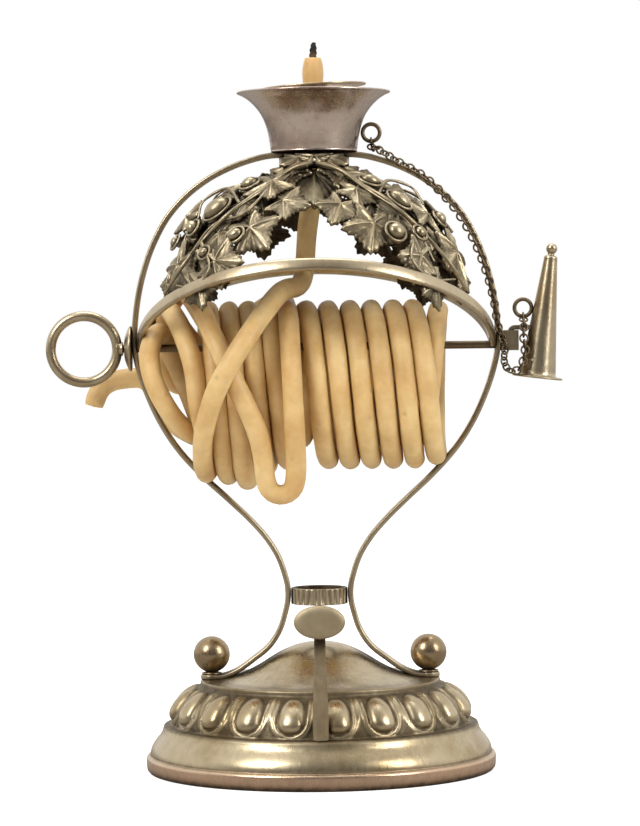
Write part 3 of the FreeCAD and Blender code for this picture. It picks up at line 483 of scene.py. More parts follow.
PLATE = plate_finish("old_silver_plate", (0.54, 0.45, 0.31), (0.060, 0.042, 0.024), (0.33, 0.24, 0.13))
FOOT = plate_finish("foot_plate", (0.54, 0.45, 0.30), (0.050, 0.034, 0.018), (0.33, 0.24, 0.12), 0.20, 0.75,
                    worn=(0.68, 0.47, 0.33))
VINE = plate_finish("cast_vine", (0.45, 0.38, 0.255), (0.040, 0.030, 0.020), (0.27, 0.21, 0.12), 0.24, 0.7,
                    grain=0.07)
PAN = plate_finish("pink_tarnish", (0.62, 0.52, 0.45), (0.07, 0.045, 0.035), (0.34, 0.21, 0.17), 0.18, 0.9)
BALL = plate_finish("brown_balls", (0.38, 0.29, 0.18), (0.04, 0.028, 0.016), (0.24, 0.16, 0.09), 0.20, 0.7)
DARK = plate_finish("dark_brass", (0.24, 0.18, 0.11), (0.035, 0.026, 0.018), (0.14, 0.10, 0.055), 0.34, 0.5)
TAN = plate_finish("worn_thumb_piece", (0.50, 0.42, 0.28), (0.14, 0.10, 0.06), (0.38, 0.30, 0.18), 0.46, 0.6)
WAX = wax_finish()
CHAR = wick_finish()


def finish_with(piece, material):
    piece.data.materials.clear()
    piece.data.materials.append(material)


for node_name in ("nozzle", "ring_nut", "hook_socket", "extinguisher_hook"):
    finish_with(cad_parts[node_name], PLATE)
finish_with(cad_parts["foot_nuts"], DARK)


# Taper

def winding_points():
    """Control points of the two wound layers, from the first stop to just before the last.

    Each half turn runs between a bottom and a top stop (x, radius, is a top) through 6 points:
    x goes evenly from one to the other, y = -side * R * sin(a), z = middle - half height * cos(a).
    """
    grow = 1.0 / 0.966
    inner, outer = 11.65, 16.45
    stops = [(-19.5 + 4.0 * k, inner, k % 2 == 1) for k in range(10)]
    stops += [(22.8, inner - 0.2, False), (27.0, outer - 0.3, True)]
    for k in range(6):
        bottom = 26.3 - 4.75 * k
        narrower, pitch = (0.75, 5.2) if k == 0 else (0.0, 4.8)
        stops += [(bottom, outer - narrower, False), (bottom - pitch, outer, True)]
    stops += [(-6.3, outer, False), (-10.8, outer, True), (-11.0, 17.6, False), (-15.0, outer, True),
              (-15.4, 20.7, False), (-19.2, outer, True), (-19.6, 19.6, False), (-23.6, outer, True)]
    points = []
    for (x0, r0, top0), (x1, r1, top1) in zip(stops, stops[1:]):
        z0 = COIL_Z + (r0 if top0 else -r0)
        z1 = COIL_Z + (r1 if top1 else -r1)
        side = -1.0 if top1 else 1.0
        middle, half = (z0 + z1) / 2, (z1 - z0) / 2
        reach = min(r0, r1)
        for k in range(6):
            a = math.pi * k / 6
            points.append((x0 + (x1 - x0) * k / 6, side * reach * math.sin(a) * grow,
                           middle - half * math.cos(a) * grow))
    return points


def taper_line():
    """Whole route: tail, loop on the rod, strand beside it, the wound layers, a slack bight, the rise."""
    tail = [(-49.9, 11.7, 80.2), (-49.2, 11.6, 83.2), (-46.6, 11.9, 85.6), (-42.4, 12.3, 86.3),
            (-39.2, 12.4, 86.4), (-37.0, 12.3, 84.8), (-35.8, 12.0, 81.4), (-33.6, 11.2, 77.8),
            (-30.6, 8.0, 75.0), (-27.8, 3.5, 73.9), (-26.8, -1.5, 73.8)]
    loop = [(-27.1, -6.4, 74.2), (-28.8, -10.4, 75.6), (-31.4, -13.0, 78.6), (-33.8, -14.0, 82.6),
            (-35.6, -13.4, 87.0), (-36.4, -10.8, 91.4), (-35.9, -6.8, 94.8), (-34.6, -2.6, 96.6),
            (-33.6, 2.4, 96.0), (-32.6, 6.6, 92.6), (-30.6, 9.4, 87.5), (-28.0, 10.6, 81.5),
            (-25.8, 8.6, 74.6), (-24.1, 3.4, 70.2), (-23.7, -3.6, 70.2)]
    beside = [(-24.2, -9.4, 73.2), (-25.0, -14.2, 77.8), (-25.8, -16.4, 82.6), (-26.2, -16.4, 88.2),
              (-27.6, -14.8, 93.2), (-29.2, -11.6, 97.4), (-31.0, -7.2, 100.4), (-32.2, -1.8, 101.4),
              (-31.0, 4.0, 99.0), (-28.0, 9.4, 94.6), (-24.4, 12.0, 89.0), (-21.4, 11.6, 81.4),
              (-19.8, 8.0, 75.6)]
    bight = [(-23.6, 0.0, 101.2), (-23.8, 8.5, 100.8), (-24.4, 14.6, 96.8), (-25.4, 17.4, 92.2),
             (-26.4, 19.4, 88.4), (-27.7, 20.5, 85.2), (-30.4, 20.9, 84.0), (-33.1, 20.3, 85.2),
             (-34.6, 18.3, 88.6), (-34.6, 14.2, 93.8), (-33.0, 8.4, 101.4), (-29.8, 0.8, 106.0),
             (-27.6, -5.6, 104.8), (-25.4, -11.6, 101.8), (-23.0, -16.6, 97.6), (-20.8, -19.8, 92.8),
             (-18.6, -21.2, 88.0), (-16.5, -21.4, 83.4), (-14.3, -21.0, 78.8), (-12.4, -19.9, 74.0),
             (-11.6, -18.4, 69.0), (-11.3, -17.2, 64.6), (-10.4, -16.6, 62.1), (-8.0, -16.4, 61.1),
             (-5.6, -16.6, 62.1), (-4.7, -17.2, 64.6), (-4.6, -18.9, 70.2), (-4.9, -21.2, 78.0),
             (-5.2, -21.6, 85.0), (-5.5, -20.2, 91.6), (-5.8, -16.0, 97.2), (-6.2, -9.0, 101.0)]
    behind = [(0, -6.4, 17.0), (15, -6.9, 19.0), (30, -9.6, 21.4), (45, -14.5, 21.6), (60, -18.5, 22.0),
              (75, -21.6, 22.4), (90, -23.8, 22.4), (110, -24.6, 21.8), (130, -24.6, 20.8),
              (155, -24.4, 19.4), (180, -24.2, 19.0)]
    behind = [(math.radians(a), x, r) for a, x, r in behind]
    back = [(x, r * math.sin(a), COIL_Z + r * math.cos(a)) for a, x, r in behind]
    rise = [(-24.6, -7.0, 65.8), (-25.0, -13.6, 69.2), (-24.6, -19.0, 74.6), (-22.9, -22.4, 80.2),
            (-21.2, -24.8, 84.8), (-18.4, -25.8, 89.6), (-14.7, -24.8, 95.4), (-11.0, -20.6, 100.8),
            (-8.0, -14.0, 104.8), (-5.9, -8.6, 105.9), (-4.3, -4.9, 105.9), (-3.2, -1.9, 106.9),
            (-2.5, -0.2, 109.1), (-2.2, 0.2, 112.2), (-2.0, 0.1, 115.6), (-1.7, 0.0, 119.0),
            (-0.9, 0.0, 124.2), (-0.3, 0.0, 129.4), (0.0, 0.0, 134.6), (0.0, 0.0, 140.0),
            (0.0, 0.0, 145.4), (0.0, 0.0, 150.8), (0.0, 0.0, 156.3)]
    return tail + loop + beside + winding_points() + bight + back + rise


def route_curve(points):
    """Free curve of order 3 whose control points are the taper's route."""
    data = bpy.data.curves.new("taper_route", "CURVE")
    data.dimensions = "3D"
    spline = data.splines.new("NURBS")
    spline.points.add(len(points) - 1)
    flat = np.ones((len(points), 4))
    flat[:, :3] = np.asarray(points) * MM
    spline.points.foreach_set("co", flat.ravel())
    spline.order_u = 3
    spline.use_endpoint_u = True
    data.resolution_u = 6
    return data


def taper():
    """Tube round the route's NURBS line, swelling a little and narrower at the burnt and the cut end."""
    data = route_curve(taper_line())
    holder = bpy.data.objects.new("taper_route", data)
    bpy.context.scene.collection.objects.link(holder)
    bpy.context.view_layer.update()
    line_mesh = bpy.data.meshes.new_from_object(holder)
    line = mesh_points(line_mesh) / MM
    bpy.data.objects.remove(holder)
    bpy.data.curves.remove(data)
    bpy.data.meshes.remove(line_mesh)
    steps = np.linalg.norm(np.diff(line, axis=0), axis=1)
    length = steps.sum()
    path = evenly(line, 2300)
    s = np.linspace(0, length, len(path))
    way, side = carried_frames(path, (0, 1, 0))
    angle = np.arange(18) * TAU / 18
    swell = (1 + 0.016 * np.sin(s * 0.21) + 0.012 * np.sin(s * 0.083 + 1.3)
             + 0.010 * np.sin(s * 0.57 + 0.4))[:, None]
    lobes = (1 + 0.014 * np.sin(3 * angle[None, :] + s[:, None] * 0.11)
             + 0.008 * np.sin(5 * angle[None, :] - s[:, None] * 0.31))
    tip = length - s[:, None]
    burnt = 1 - 0.22 * np.exp(-tip / 1.1) + 0.05 * np.exp(-((tip - 3.2) / 1.4) ** 2)
    cut = 1 - 0.10 * np.exp(-s[:, None] / 0.5)
    radius = TAPER_RADIUS * swell * lobes * burnt * cut
    points = around(path, way, side, radius, angle)
    rows, columns = points.shape[:2]
    points = np.vstack([points.reshape(-1, 3), path[0] - way[0] * 0.25, path[-1] + way[-1] * 0.15])
    piece = outward(new_mesh("taper", points, tube_faces(rows, columns)))
    finish_with(piece, WAX)
    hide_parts("taper_coil", "taper_riser", "taper_tail")
    return piece, line, length


taper_piece, taper_path, taper_length = taper()


def wick_piece():
    """Twisted charred wick: three strands' bulges turning round a line that leans a little."""
    t = np.linspace(0, 1, 40)
    path = np.stack([0.25 * t ** 2, -0.15 * t, 154.8 + 5.0 * t - 0.1 * t ** 4], 1)
    angle = np.arange(18) * TAU / 18
    way, side = carried_frames(path, (0, 1, 0))
    strands = 1 + 0.12 * np.cos(3 * (angle[None, :] - 9.0 * t[:, None]))
    radius = 0.78 * strands * (1 - 0.55 * t[:, None] ** 5)
    points = around(path, way, side, radius, angle)
    points = np.vstack([points.reshape(-1, 3), path[0], path[-1]])
    piece = outward(new_mesh("charred_wick", points, tube_faces(len(t), 18)))
    finish_with(piece, CHAR)
    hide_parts("wick")
    return piece


wick_shape = wick_piece()


# Foot

def foot_profile():
    """Outside of the foot as (radius, height): rim, ogee, ledge, egg band, shoulder, flare and dome."""
    rim = [(37.9, 0.0), (38.3, 0.4), (38.48, 1.2), (38.5, 2.6), (38.45, 3.1), (38.2, 3.45), (37.8, 3.6),
           (37.62, 3.75), (37.6, 4.1)]
    ogee = [(37.5, 4.8), (37.1, 5.8), (36.35, 6.9), (35.6, 7.8), (35.0, 8.7), (34.78, 9.5),
            (34.45, 10.15)]
    band = [(33.1, 10.35), (32.85, 11.2), (32.4, 12.6), (31.75, 13.9), (31.0, 15.1), (30.0, 16.3),
            (28.8, 17.4), (27.6, 18.3), (26.7, 18.95)]
    top = [(26.3, 19.75), (25.6, 19.95), (22.6, 20.0), (19.4, 20.6), (16.4, 21.6), (13.6, 23.0),
           (11.2, 24.5), (8.8, 25.9), (6.2, 27.1), (3.6, 27.8), (1.4, 28.0), (0.02, 28.0)]
    return rim + ogee + band + top


def foot():
    """Stamped foot: profile turned about Z, its band lifted along its normal by an egg and two ribs a lobe.

    An egg is sqrt(1 - e^2.2), e^2.4 = (across / wide)^2.3 + (up / reach)^2.6; a rib is exp(-(u - 1)^2 / w^2).
    """
    outline = np.array([(r, 0, z) for r, z in foot_profile()])
    line = spline_through(outline, 1600)
    line = evenly(line, 1600)
    height = line[:, 2]
    weight = np.where((height > 10.2) & (height < 20.4), 2.4, 1.0)
    weight = np.where((height > 2.7) & (height < 4.3), 4.5, weight)
    order = np.concatenate([[0], np.cumsum(weight[1:])])
    where = np.linspace(0, order[-1], 122)
    r = np.interp(where, order, line[:, 0])
    z = np.interp(where, order, height)
    normal = np.stack([np.gradient(z), -np.gradient(r)], 1)
    normal /= np.linalg.norm(normal, axis=1)[:, None]
    columns = 640
    angle = np.arange(columns) * TAU / columns
    pitch = TAU / EGG_COUNT
    start = math.radians(-90 + 6.5)
    a = ((angle - start) / pitch + 0.5) % 1.0 - 0.5
    s = np.clip((z - 10.4) / (19.0 - 10.4), 0, 1)
    inside = smoothstep(10.3, 10.9, z) * (1 - smoothstep(18.9, 19.6, z))
    s2, a2 = s[:, None], np.abs(a)[None, :]
    arc = a2 * pitch * r[:, None]
    up = (s2 - 0.47) * 11.4
    wide = 3.05 - 0.42 * s2
    egg = ((arc / wide) ** 2.3 + np.abs(np.where(up < 0, up / 4.1, up / 5.3)) ** 2.6) ** (1 / 2.4)
    dome = np.sqrt(np.clip(1 - egg ** 2.2, 0, 1)) * (1.95 - 0.55 * s2)
    u_shape = np.sqrt((arc / (wide + 0.8)) ** 2 + (np.where(up < 0, up / 4.95, 0.0)) ** 2)
    rib_1 = 0.62 * np.exp(-((u_shape - 1.0) / 0.075) ** 2)
    u_outer = np.sqrt((arc / (wide + 1.5)) ** 2 + (np.where(up < 0, up / 5.7, 0.0)) ** 2)
    rib_2 = 0.45 * np.exp(-((u_outer - 1.0) / 0.055) ** 2)
    fade = 1 - smoothstep(0.80, 1.0, s2)
    dart = 0.5 * np.exp(-((0.5 - a2) / 0.035) ** 2)
    dart = dart * smoothstep(0.25, 0.6, s2) * (1 - smoothstep(0.85, 1.0, s2))
    lift = (dome + (rib_1 + rib_2) * fade + dart - 0.35) * inside[:, None]
    rr = r[:, None] + normal[:, 0][:, None] * lift
    zz = z[:, None] + normal[:, 1][:, None] * lift
    wall = 0.75
    low = z < 9.8
    inner_r = np.where(low, np.minimum(r - wall, 37.2), r - wall)
    inner_z = np.where(low, z, z - wall)
    inner_r = np.clip(inner_r, 0.02, None)
    inner = slice(None, None, 4)
    ir = np.repeat(inner_r[::-1][inner][:, None], columns, 1)
    iz = np.repeat(np.maximum(inner_z[::-1][inner], 0.0)[:, None], columns, 1)
    iz[-1] = 0.0
    all_r = np.vstack([rr, ir])
    all_z = np.vstack([zz, iz])
    points = np.stack([all_r * np.cos(angle), all_r * np.sin(angle), all_z], -1)
    # painted shade: darker between the egg and rib crests, in the crease under the rim's step and under the
    # ledges at both edges of the egg band
    crests = 1.1 * (dome / 1.75) + 1.2 * (rib_1 / 0.62) * fade + 1.1 * (rib_2 / 0.45) * fade + dart
    painted_shade = np.clip(0.80 - crests, 0, 1) * inside[:, None]
    painted_shade += 0.6 * np.exp(-((z - 3.85) / 0.22) ** 2)[:, None]
    ledge_shade = 0.75 * np.exp(-((z - 10.2) / 0.5) ** 2) + 0.55 * np.exp(-((z - 19.6) / 0.35) ** 2)
    painted_shade += ledge_shade[:, None]
    painted_shade = np.clip(painted_shade, 0, 1)
    # painted shade over the whole inside of the foot
    painted_shade = np.vstack([painted_shade, np.full((len(all_r) - len(rr), columns), 0.8)])
    faces = grid_faces(len(all_r), columns, True, True)
    piece = outward(new_mesh("stamped_foot", points.reshape(-1, 3), faces))
    give_values(piece, "painted_shade", painted_shade)
    worn = np.clip(1 - smoothstep(2.2, 4.6, all_z), 0, 1) * (all_r > 36)
    give_values(piece, "worn", worn)
    finish_with(piece, FOOT)
    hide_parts("base_shell")


# Straps, ring, arches

def strap_line():
    """Middle line of the right strap in the XZ plane, from its pad to the crown."""
    return [(23.9, 20.5), (21.6, 20.6), (19.4, 21.3), (17.2, 22.5), (14.6, 24.4), (12.1, 26.3),
            (10.2, 28.4), (8.6, 31.2), (7.6, 34.4), (7.0, 37.0), (6.9, 39.4), (7.3, 42.0), (8.9, 46.8),
            (11.6, 51.2), (15.3, 55.4), (20.0, 59.9), (25.4, 64.9), (30.6, 70.7), (34.6, 77.0),
            (37.6, 83.8), (39.3, 89.4), (39.9, 93.0), (39.9, 97.5), (39.2, 103.5), (37.9, 109.4),
            (35.8, 115.4), (32.6, 121.4), (28.4, 126.2), (23.4, 130.0), (18.0, 132.7), (12.8, 134.4),
            (8.6, 135.1), (3.4, 135.1)]


def straps():
    """Both bent straps, the left one mirrored, each with its round pad under the ball screw."""
    line = np.array([(x, 0, z) for x, z in strap_line()])
    path = evenly(spline_through(line, 900), 260)
    s = np.linspace(0, 1, len(path))
    width = 4.7 - 0.5 * np.exp(-((s - 0.16) / 0.05) ** 2)
    scale = np.stack([width, np.full(len(s), 1.0)], 1)
    profile = strip_profile(1.0, 1.15)
    for side, node in ((1, "strap_right"), (-1, "strap_left")):
        there = path * np.array([side, 1, 1])
        piece = swept("flat_" + node, there, profile, (0, 1, 0), scale=scale)
        finish_with(piece, PLATE)
        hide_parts(node)
        pad = rounded_run([(0.02, 19.95), (2.45, 19.95), (2.45, 21.05), (0.02, 21.05)], 0.3)
        disc = turned("pad_" + node, pad, 48)
        placed(disc, (side * PAD_X, 0, 0))
        finish_with(disc, PLATE)


def ball_screws():
    """Ball heads on a short waisted neck and a flat washer."""
    t = np.linspace(-1.25, math.pi / 2, 40)
    ball = np.stack([4.0 * np.cos(t), 25.45 + 4.0 * np.sin(t)], 1)
    neck = np.array([(0.02, 17.0), (1.35, 17.0), (1.35, 20.9), (2.15, 21.1), (2.2, 21.45), (1.5, 21.6)])
    profile = np.vstack([neck, ball])
    profile[-1, 0] = 0.02
    for side, name in ((1, "ball_screw_right"), (-1, "ball_screw_left")):
        piece = turned(name, profile, 64)
        placed(piece, (side * PAD_X, 0, 0))
        finish_with(piece, BALL)
        if side == 1:
            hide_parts("ball_screws")


def waist_ring():
    """Reeded ring: outer radius less depth * (0.5 + 0.5 cos(REED_COUNT * a))^1.5, with a plain bore."""
    corners = rounded_run([(6.25, 36.4), (6.25, 40.0), (5.25, 40.0), (5.25, 36.4)], 0.35, 7)

    def reeds(profile, angle):
        outside = smoothstep(5.8, 6.1, profile[:, 0])[:, None]
        across = 1 - np.exp(-((np.abs(profile[:, 1] - 38.2) - 1.8) / 0.35) ** 2)
        return -0.42 * outside * across[:, None] * (0.5 + 0.5 * np.cos(REED_COUNT * angle))[None, :] ** 1.5
    piece = turned("reeded_ring", corners, 416, reeds)
    co = mesh_points(piece.data)
    radius = np.hypot(co[:, 0], co[:, 1]) / MM
    # painted shade: darker in the grooves between the reeds
    give_values(piece, "painted_shade", np.clip((6.22 - radius) / 0.42, 0, 1) * 0.9)
    finish_with(piece, PLATE)
    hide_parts("waist_ring")


def arches():
    """Half rings from pivot to pivot, tipped up 27 degrees to the front and the back."""
    a = np.linspace(math.radians(2.6), math.pi - math.radians(2.6), 180)
    for side, node in ((-1, "arch_front"), (1, "arch_rear")):
        path = np.stack([ARCH_RADIUS * np.cos(a), side * math.cos(ARCH_TILT) * ARCH_RADIUS * np.sin(a),
                         PIVOT_Z + math.sin(ARCH_TILT) * ARCH_RADIUS * np.sin(a)], 1)
        normal = np.array([0, -side * math.sin(ARCH_TILT), math.cos(ARCH_TILT)])
        piece = swept("band_" + node, path, strip_profile(2.8, 1.05, 0.35), normal)
        finish_with(piece, PLATE)
        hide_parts(node)


# Pan, disc, eyes

def drip_pan():
    """Thin trumpet with a rolled rim; inner and outer walls are one closed outline."""
    outside = np.array([(3.35, 0, 135.72), (8.9, 0, 135.75), (9.45, 0, 136.2), (9.75, 0, 138.0),
                        (10.15, 0, 140.2), (10.75, 0, 142.2), (11.5, 0, 143.9), (12.7, 0, 145.6),
                        (14.2, 0, 147.1), (15.7, 0, 148.1), (16.5, 0, 148.45)])
    rim = np.array([(16.85, 0, 148.65), (16.8, 0, 148.95), (16.4, 0, 149.0)])
    inside = np.array([(15.4, 0, 148.5), (13.9, 0, 147.5), (12.2, 0, 145.9), (11.0, 0, 144.2),
                       (10.2, 0, 142.4), (9.6, 0, 140.2), (9.2, 0, 138.0), (8.7, 0, 136.7),
                       (8.0, 0, 136.4), (3.35, 0, 136.4)])
    line = np.vstack([spline_through(np.vstack([outside, rim]), 90), spline_through(inside, 60)])
    piece = turned("trumpet_pan", line[:, [0, 2]], 160)
    finish_with(piece, PAN)
    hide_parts("drip_pan")


def drip_disc():
    """Thin disc with a hole for the taper, tipped 3 degrees and very slightly dished."""
    tilt = math.radians(-3.0)
    profile = rounded_run([(2.65, 0.0), (11.65, 0.12), (11.65, 0.55), (2.65, 0.43)], 0.2, 5)
    piece = turned("loose_disc", profile, 128, body="drip_disc")
    placed(piece, (0, 0, 149.4 + 3.25 * math.sin(-tilt) + 0.1), about_y(tilt))
    finish_with(piece, PLATE)
    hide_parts("drip_disc")


def wire_ring(name, centre, radius, wire, body, node, material=DARK, sides=16, count=72):
    """Torus in the XZ plane: centre + (radius + wire cos b) across + wire sin b along Y."""
    a = np.arange(count) * TAU / count
    b = np.arange(sides) * TAU / sides
    ring_r = radius + wire * np.cos(b)[None, :]
    x = ring_r * np.cos(a)[:, None]
    z = ring_r * np.sin(a)[:, None]
    y = (wire * np.sin(b))[None, :] * np.ones((count, 1))
    points = np.stack([x, y, z], -1).reshape(-1, 3) + np.asarray(centre, float)
    piece = outward(new_mesh(name, points, grid_faces(count, sides, True, True), body))
    finish_with(piece, material)
    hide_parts(node)


def box_centre(node):
    """Middle of a node's box at rest."""
    low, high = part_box(node)
    return (np.array(low) + np.array(high)) / 2 / MM


def eye_rings():
    for node, body in (("pan_eye", "stand"), ("extinguisher_eye", "extinguisher")):
        wire_ring(node + "_ring", box_centre(node), EYE_RADIUS, EYE_WIRE, body, node)


# Extinguisher

def extinguisher():
    """Leaning hollow cone with a flat flange, a neck and a bead, turned about its own axis."""
    outside = [(3.62, 0.0), (5.2, -0.02), (5.55, 0.12), (5.58, 0.36), (5.2, 0.52), (4.3, 0.55),
               (4.0, 0.8), (3.86, 2.2), (3.2, 8.8), (2.55, 15.4), (1.9, 22.0), (1.5, 26.2), (1.5, 26.7),
               (1.25, 27.0), (0.75, 27.1), (0.72, 27.6), (1.0, 27.85), (1.22, 28.4), (1.2, 28.95),
               (0.9, 29.45), (0.45, 29.68), (0.02, 29.75)]
    inside = [(0.02, 25.6), (1.1, 25.55), (3.3, 3.3), (3.62, 0.0)]
    lines = np.vstack([outside, inside])
    dense = []
    for p, q in zip(lines, np.roll(lines, -1, 0)):
        steps = max(2, int(np.hypot(*(q - p)) / 0.6))
        dense += [p + (q - p) * k / steps for k in range(steps)]
    piece = turned("leaning_cone", np.array(dense), 72, body="extinguisher")
    placed(piece, (48.5, 0, 85.5), about_y(math.radians(7.0)))
    finish_with(piece, PLATE)
    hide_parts("extinguisher")


# Spindle

def spindle_parts():
    """Rod, domed washer with a rolled edge, and the finger ring on its short waisted boss."""
    low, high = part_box("spindle")
    x = np.linspace(low[0] / MM, high[0] / MM, 60)
    rod = swept("spindle_rod", np.stack([x, 0 * x, 0 * x + PIVOT_Z], 1), round_profile(0.85, 20),
                body="spindle")
    finish_with(rod, DARK)
    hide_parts("spindle")
    dome = rounded_run([(0.93, 0.0), (5.0, 0.0), (5.0, 0.55), (3.6, 1.15), (2.4, 1.55), (0.93, 1.7)], 0.5, 6)
    washer = turned("domed_washer", dome, 96, body="washer")
    turn = np.array([[0, 0, -1], [0, 1, 0], [1, 0, 0]])
    placed(washer, (-40.6, 0, PIVOT_Z), turn)
    finish_with(washer, PLATE)
    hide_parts("spindle_washer")
    centre = (-51.12, 0, PIVOT_Z)
    wire_ring("finger_ring", centre, 7.3, 1.12, "spindle", "ring_handle", PLATE, 24, 120)
    boss = rounded_run([(0.86, 0.0), (1.6, 0.0), (1.35, 0.7), (1.75, 1.5), (0.86, 1.5)], 0.3, 5)
    collar = turned("ring_collar", boss, 48, body="spindle")
    placed(collar, (-42.5, 0, PIVOT_Z), turn)
    finish_with(collar, PLATE)


# Scroll handle

def scroll_handle():
    """Flat scroll that rises from the ledge and rolls forward under the thumb piece."""
    line = [(0, -33.7, 10.3), (0, -33.9, 14.5), (0, -34.4, 18.6), (0, -35.3, 23.0), (0, -36.8, 27.4),
            (0, -39.4, 31.2), (0, -41.3, 33.6), (0, -41.95, 35.9)]
    path = evenly(spline_through(line, 300), 110)
    s = np.linspace(0, 1, len(path))
    width = 3.4 - 1.0 * smoothstep(0.1, 0.75, s)
    piece = swept("scroll_strap", path, strip_profile(1.0, 0.85, 1.3), (1, 0, 0),
                  scale=np.stack([width, np.full(len(s), 1.0)], 1))
    # painted shade: darker towards the top, under the thumb piece
    give_values(piece, "painted_shade", nearest_share(piece, path, 0.15 + 0.85 * smoothstep(0.66, 0.86, s)))
    finish_with(piece, PLATE)
    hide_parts("handle_strap")


def thumb_piece():
    """Oval: x = a cos v |cos u|^e, z = b sin v |cos u|^e, y = c sin u, slightly dished in front."""
    u = np.linspace(-math.pi / 2, math.pi / 2, 40)
    v = np.arange(96) * TAU / 96
    ring = np.cos(u)[:, None] ** 0.62
    x = 5.35 * ring * np.cos(v)
    z = 3.5 * ring * np.sin(v)
    y = -1.1 * np.sin(u)[:, None] * np.ones(96)
    dish = 0.28 * np.exp(-(x / 3.6) ** 2 - (z / 2.2) ** 2) * (np.sin(u)[:, None] > 0)
    y = y + dish
    points = np.stack([x, y - 43.55, z + 36.2], -1)
    piece = outward(new_mesh("thumb_oval", points.reshape(-1, 3), grid_faces(40, 96, False, True)))
    finish_with(piece, TAN)
    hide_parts("thumb_button")


# Chain

def chain_path():
    """Line the links hang along, from the pan's eye round the strap's front to the extinguisher's eye."""
    top = box_centre("pan_eye") - np.array([0, 0, 2.08])
    end = box_centre("extinguisher_eye") - np.array([0, 0.17, 1.98])
    beside = -3.96
    points = [top, top - np.array([0, 0, 1.0]), top + np.array([1.3, -2.9, -1.6]), (18.6, beside, 133.1),
              (23.6, beside, 130.2), (28.8, beside, 125.2), (32.6, beside, 120.0), (35.6, beside, 114.0),
              (37.8, beside, 107.6), (39.0, beside, 102.4), (39.7, beside - 0.3, 97.6),
              (41.2, beside - 0.3, 92.5), (41.0, beside - 0.3, 89.6), (42.1, beside - 0.6, 87.4),
              (44.4, beside - 0.9, 87.7), (45.6, beside - 0.4, 91.2), (45.4, beside, 94.6),
              end + np.array([0, -2.6, -1.6]), end]
    return spline_through(points, 900)


def chain():
    """Round wire links, each a small torus turned a quarter from the one before."""
    line = chain_path()
    length = np.linalg.norm(np.diff(line, axis=0), axis=1).sum()
    count = int(round(length / LINK_PITCH / 2)) * 2
    places = evenly(line, count + 1)
    way, side = carried_frames(places, (1, 0, 0))
    up = np.cross(way, side)
    twist = math.atan2(np.dot(way[-1], np.cross(side[-1], (1, 0, 0))), side[-1][0])
    a = np.arange(18) * TAU / 18
    b = np.arange(8) * TAU / 8
    lowest = int(np.argmin(places[:, 2]))
    groups = {"fine_chain": [], "chain_end": []}
    for k in range(count + 1):
        turn = twist * k / count + (math.pi / 2) * (k % 2)
        axis = side[k] * math.cos(turn) + up[k] * math.sin(turn)
        across = np.cross(axis, way[k])
        radius = LINK_RADIUS + LINK_WIRE * np.cos(b)[None, :]
        points = (places[k] + way[k] * (radius * 1.10 * np.cos(a)[:, None])[..., None]
                  + across * (radius * np.sin(a)[:, None])[..., None]
                  + axis * (LINK_WIRE * np.sin(b)[None, :] * np.ones((18, 1)))[..., None])
        name = "fine_chain" if k <= lowest else "chain_end"
        groups[name].append((points.reshape(-1, 3), grid_faces(18, 8, True, True)))
    for name, node, body in (("fine_chain", "chain", "stand"), ("chain_end", "chain_tail", "extinguisher")):
        piece = outward(joined(name, groups[name], body))
        finish_with(piece, DARK)
        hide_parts(node)


# Vine garlands

def on_globe(x, z, depth=0.0):
    """Point of the front of the globe at x and z, pushed outwards by depth."""
    s = np.clip((z - PIVOT_Z) / 42.0, 0, 1.1)
    radius = GLOBE_RADIUS + 2.4 * s ** 4 + depth
    y = -math.sqrt(max(radius ** 2 - x ** 2 - (z - PIVOT_Z) ** 2, 9.2 ** 2))
    return np.array([x, y, z])


def globe_frame(x, z, heading, depth, heart):
    """Point of the globe, its normal away from a heart above the pivot, the heading and the way across."""
    centre = on_globe(x, z, depth)
    normal = centre - np.array([0, 0, PIVOT_Z + heart])
    normal /= np.linalg.norm(normal)
    h = math.radians(heading)
    ahead = np.array([math.cos(h), 0, math.sin(h)])
    ahead -= normal * ahead.dot(normal)
    ahead /= np.linalg.norm(ahead)
    return centre, normal, ahead, np.cross(normal, ahead)


